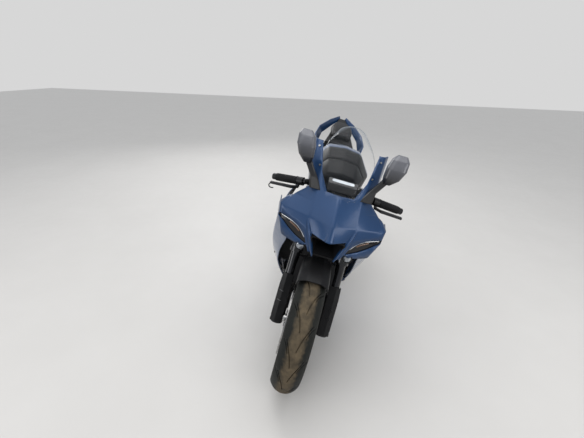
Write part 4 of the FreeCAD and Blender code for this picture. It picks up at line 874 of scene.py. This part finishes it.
def makeSeats():
    makePad("rider_seat", "riderSeatPad",
            (seamAcross(0.905, 0.83, -1.6), seamAcross(1.075, 0.85, -1.2),
             seamRound(lambda y: 0.052 + 0.048 * max(0.0, min(1.0, (y - 0.86) / 0.16)))))
    makePad("passenger_seat", "passengerSeatPad",
            (seamAcross(1.215, 0.94, 1.4), seamRound(lambda y: 0.056 - 0.1 * max(0.0, y - 1.3))))


# Brake hoses from each front caliper to the lower yoke
hose = {"radius": 0.0034, "path": (  # across, up the fork, behind its line
    (0.09, 0.128, 0.104), (0.094, 0.165, 0.098), (0.1, 0.21, 0.062), (0.1, 0.27, 0.046),
    (0.096, 0.34, 0.044), (0.078, 0.4, 0.05), (0.04, 0.428, 0.052), (0.006, 0.44, 0.046))}


def makeHoses():
    for side, tag in sides:
        points = [onFork(side * x, along, back) for x, along, back in hose["path"]]
        tubeAlong("brakeHose" + tag, points, hose["radius"], "rubber", "fork", "rubber", forkPlace)


# Screws of the calipers and yokes, and the calipers' pistons
caliper = {"lookFrom": 0.3, "middle": 0.078, "screws": (-0.044, 0.044), "screwBack": 0.118, "screwHead": (0.0058, 0.8),
           "pistons": (-0.02, 0.02), "pistonBack": 0.112,
           "piston": ((-0.003, 0.01), (-0.003, 0.015), (0.0022, 0.0145), (0.0034, 0.0125), (0.003, 0.0095),
                      (0.0014, 0.009))}
yokeScrew = {"places": ((0.122, 0.445), (0.122, 0.457), (0.128, 0.598)), "lookFrom": -0.2, "head": (0.004, 0.6)}


def caliperLook(side, along, back):
    return onFork(side * caliper["lookFrom"], caliper["middle"] + along, back), (-side, 0, 0)


def makeForkScrews():
    looks = [(*caliperLook(side, along, caliper["screwBack"]), *caliper["screwHead"])
             for side, _ in sides for along in caliper["screws"]]
    boltsOn("caliperScrews", "front_calipers", looks)
    places = [hit("front_calipers", *caliperLook(side, along, caliper["pistonBack"]))[:2]
              for side, _ in sides for along in caliper["pistons"]]
    spinPiece("caliperPistons", caliper["piston"], places, 28, "darkAlloy", "fork", "dark_alloy")
    looks = [(onFork(side * x, along, yokeScrew["lookFrom"]), rakeBack, *yokeScrew["head"])
             for side, _ in sides for x, along in yokeScrew["places"]]
    boltsOn("yokeScrews", "yokes", looks)


# Mirror glass, instrument glass
mirrorPatch = {"half": (0.03, 0.04), "look": (0, -1, 0), "squareness": 0.55}
instrumentPatch = {"spots": [(0, 0.3, 0.93)], "up": (0, 0.3, 0.95), "half": (0.054, 0.012), "look": (0, -1, -0.1),
                   "squareness": 0.9}


def makeGlasses():
    for side, tag in sides:
        up = Vector((side * 0.18, 0.16, 0.94)).normalized()
        across = Vector((side * 0.94, 0.0, -0.18)).normalized()
        patchPiece("mirrorGlass" + tag, "mirror_" + tag.lower(), "mirrorGlass", "screen",
                   [(side * 0.192, 0.4, 1.058)], up=up, across=across, **mirrorPatch)
    patchPiece("instrumentGlass", "instrument_panel", "glossBlack", "black_plastic", **instrumentPatch)


# What shows through the screen: a pale bar on the dials, a painted highlight, and the fork caps
dialHighlightPatch = {"spots": [(0, 0.08, 1.02)], "up": (0, 0.6, 0.8), "half": (0.048, 0.0075), "look": (0, 0.75, -0.66),
             "squareness": 0.7, "lift": 0.0002, "thick": 0.001}
forkCap = {"radius": 0.0175, "across": 0.107, "lookFrom": 0.85,
           "shape": ((-0.002, 0.3), (-0.002, 0.98), (0.0024, 0.98), (0.0034, 0.92), (0.0034, 0.66), (0.0058, 0.6),
                     (0.0058, 0.34), (0.003, 0.3))}


def makeCockpit():
    # A pale patch on the instrument panel: a painted highlight.
    patchPiece("dialHighlightBar", "instrument_panel", "paintedHighlight", "screen", **dialHighlightPatch)
    looks = [hit("fork_legs", onFork(side * forkCap["across"], forkCap["lookFrom"]), -rakeUp) for side, _ in sides]
    spinPiece("forkCaps", scaled(forkCap["shape"], forkCap["radius"]), [(at, -look) for at, _, look in looks], 30,
              "steel", "fork", "steel")


# Lever ends: a ball at each tip, and the folded tip of the brake lever
leverEnd = {"tip": (0.3062, 0.2472, 0.8272), "ball": 0.0064, "foldRadius": 0.0026,
            "fold": ((-0.302, 0.2472, 0.8275), (-0.313, 0.245, 0.824), (-0.314, 0.24, 0.811),
                     (-0.301, 0.239, 0.805), (-0.29, 0.24, 0.809))}


def makeLeverEnds():
    x, y, z = leverEnd["tip"]
    r = leverEnd["ball"]
    profile = [(r * sin(radians(a)), max(0.0002, r * cos(radians(a)))) for a in range(-90, 91, 18)] + [(0.0, 0.0001)]
    for side, tag in ((-1, "Brake"), (1, "Clutch")):
        spinPiece("leverBall" + tag, profile, [((side * x, y, z), (side * 0.86, 0, -0.2))], 20,
                  "darkAlloy", "fork", "dark_alloy", forkPlace)
    tubeAlong("leverFold", leverEnd["fold"], leverEnd["foldRadius"], "darkAlloy", "fork", "dark_alloy", forkPlace)


# Small marks of the fork guards: two pale bands on one side, two buttons on the other
guardPatch = {"spots": [(-0.12, -0.3, 0.426), (-0.12, -0.3, 0.386)], "up": (0, 0.4, 0.9), "half": (0.0095, 0.0009),
              "look": (0, 1, 0), "squareness": 0.9, "lift": 0.0003, "thick": 0.0008, "cells": 6}
guardButton = {"at": (0.116, -0.3), "heights": (0.405, 0.366), "head": (0.0062, 0.35)}


def makeGuardMarks():
    patchPiece("guardBands", "fork_guards", "castAlloy", "steel", **guardPatch)
    looks = [((*guardButton["at"], z), (0, 1, 0), *guardButton["head"]) for z in guardButton["heights"]]
    boltsOn("guardButtons", "fork_guards", looks, "black_metal", "darkAlloy")


# Tail lamp cells and valve stems
lampCell = {"spots": [(x, 1.75, 0.962) for x in (-0.0165, -0.0055, 0.0055, 0.0165)], "up": (0, 0, 1),
            "half": (0.0045, 0.0085), "look": (0, -1, 0), "squareness": 0.6, "lift": 0.0003, "thick": 0.001, "cells": 8}
valve = {"angle": radians(36), "radii": (0.2135, 0.211),
         "shape": ((0.0, 0.0003), (0.0, 0.003), (0.012, 0.003), (0.012, 0.0042), (0.022, 0.004), (0.024, 0.0034),
                   (0.024, 0.0003))}


def makeSmallTrim():
    patchPiece("tailLampCells", "tail_lamp", "redLens", "red_lamp", **lampCell)
    out = onWheel(0, 1, valve["angle"])
    for (tag, hub, body), radius in zip(wheels, valve["radii"]):
        spinPiece(tag + "Valve", valve["shape"], [(out * radius, -out)], 16, "rubber", body, "rubber", hub)


# Drive chain: outer link plates and pin heads on the two rows that the frame has
chain = {"x": 0.113, "pitch": 0.015875, "rearTeeth": 41, "frontTeeth": 16, "front": (0.768, 0.392),
         "rear": (1.405, 0.32), "halfWidth": 0.01, "halfThick": 0.0009,
         "plate": ((-0.006, 0.003), (-0.003, 0.0062), (0.0, 0.007), (0.004, 0.0056), (0.0079, 0.0046),
                   (0.0119, 0.0056), (0.0159, 0.007), (0.0189, 0.0062), (0.0219, 0.003)),
         "pinHead": ((0.0, 0.0003), (0.0, 0.0027), (0.0014, 0.0027), (0.0019, 0.002), (0.0019, 0.0003))}


def chainPins():
    # The pins' places round both sprockets and along the two straight runs.
    pitch = chain["pitch"]
    rearR = pitch / (2 * sin(pi / chain["rearTeeth"]))
    frontR = pitch / (2 * sin(pi / chain["frontTeeth"]))
    a, b = Vector((chain["x"], *chain["rear"])), Vector((chain["x"], *chain["front"]))
    line = b - a
    tilt, spread = atan2(line.z, -line.y), asin((rearR - frontR) / line.length)
    top, low = pi / 2 - tilt + spread, -pi / 2 - tilt - spread
    run = sqrt(line.length ** 2 - (rearR - frontR) ** 2)
    rearArc, frontArc = (top - low) * rearR, (2 * pi - (top - low)) * frontR
    total = 2 * run + rearArc + frontArc
    count = 2 * round(total / pitch / 2)

    def onCircle(centre, radius, angle):
        return Vector((chain["x"], centre.y + radius * cos(angle), centre.z + radius * sin(angle)))

    pins = []
    for i in range(count):
        s = i * total / count
        if s < rearArc:
            pins.append(onCircle(a, rearR, top - s / rearR))
        elif s < rearArc + run:
            pins.append(onCircle(a, rearR, low).lerp(onCircle(b, frontR, low), (s - rearArc) / run))
        elif s < rearArc + run + frontArc:
            pins.append(onCircle(b, frontR, low - (s - rearArc - run) / frontR))
        else:
            pins.append(onCircle(b, frontR, top).lerp(onCircle(a, rearR, top), (s - rearArc - run - frontArc) / run))
    return pins


def makeChainLinks():
    pins, thick = chainPins(), chain["halfThick"]
    bm = bmesh.new()
    for i in range(0, len(pins), 2):
        first, second = pins[i], pins[(i + 1) % len(pins)]
        along = (second - first).normalized()
        across = Vector((0, -along.z, along.y))
        outline = [first + along * t + across * half for t, half in chain["plate"]]
        outline += [first + along * t - across * half for t, half in reversed(chain["plate"])]
        for side, _ in sides:
            x = side * (chain["halfWidth"] + thick)
            loftRings(bm, [[p + Vector((x + d * side, 0, 0)) for p in outline] for d in (-thick, thick)])
            for pin in (first, second):
                spinShape(bm, chain["pinHead"], pin + Vector((x + thick * side, 0, 0)), (side, 0, 0), 10)
    keepPiece(outward(bm), "chainOuterLinks", "chainSteel", "chassis", "steel", chassisPlace)


# Engine covers: a stepped lid with a ring of screws at each end of the shafts
engineCovers = (  # name, side, place on the side view, face of the boss, radius, screws
    ("generatorCover", 1, (0.56, 0.33), 0.164, 0.072, 8), ("clutchCover", -1, (0.61, 0.34), -0.168, 0.08, 8),
    ("pickupCover", -1, (0.505, 0.33), -0.158, 0.044, 5))
coverLid = {"steps": ((-0.003, 0.97), (0.003, 0.97), (0.0045, 0.94), (0.0045, 0.72), (0.01, 0.66), (0.0115, 0.6),
                      (0.01, 0.3), (0.0075, 0.26)),
            "hole": 0.002, "screwFace": 0.0045, "screwRing": 0.84, "screwStart": 0.3, "screwHead": (0.005, 0.8)}


def makeEngineCovers():
    for name, side, (y, z), face, radius, count in engineCovers:
        bm = bmesh.new()
        centre = Vector((face, y, z))
        steps = scaled(coverLid["steps"], radius)
        profile = [(steps[0][0], coverLid["hole"]), *steps, (steps[-1][0], coverLid["hole"])]
        spinShape(bm, profile, centre, (side, 0, 0), 48)
        outward(bm)
        face, ring = side * coverLid["screwFace"], radius * coverLid["screwRing"]
        for at in ringPoints(face, ring, count, coverLid["screwStart"]):
            addBolt(bm, centre + at, Vector((side, 0, 0)), *coverLid["screwHead"])
        keepPiece(bm, name, "engineCase", "chassis", "dark_alloy", chassisPlace)


# Grips with moulded ribs
grip = {"inner": (0.15, 0.24, 0.877), "outer": (0.305, 0.3, 0.842), "ribs": 12, "firstRib": 0.051, "pitch": 0.0084,
        "collar": ((0.0445, 0.016), (0.0445, 0.0195), (0.0475, 0.0195), (0.0485, 0.0174)),
        "rib": ((0.0, 0.0172), (0.0008, 0.0182), (0.0052, 0.0182), (0.006, 0.0172)),
        "end": ((0.1545, 0.0174), (0.155, 0.016))}


def makeGrips():
    inner, outer = Vector(grip["inner"]), Vector(grip["outer"])
    axis = (outer - inner).normalized()
    ribs = [(grip["firstRib"] + grip["pitch"] * i + along, radius)
            for i in range(grip["ribs"]) for along, radius in grip["rib"]]
    for side, tag in sides:
        flip = Vector((side, 1, 1))
        spinPiece("gripRibs" + tag, [*grip["collar"], *ribs, *grip["end"]], [(inner * flip, axis * flip)], 32,
                  "rubber", "fork", "rubber", forkPlace, sharp=25)


makePanels()
makeScreen()
print("panels done")
makeTyres()
makeDiscs()
print("wheels done")
makeNoseBlades()
makeLamps()
makeCowlScrews()
makeGlasses()
print("nose done")
makeHoses()
makeForkScrews()
makeGrips()
makeCockpit()
makeLeverEnds()
makeGuardMarks()
makeSmallTrim()
print("fork done")
makeChainLinks()
makeEngineCovers()
print("engine and chain done")
makeSeats()
print("seats done")
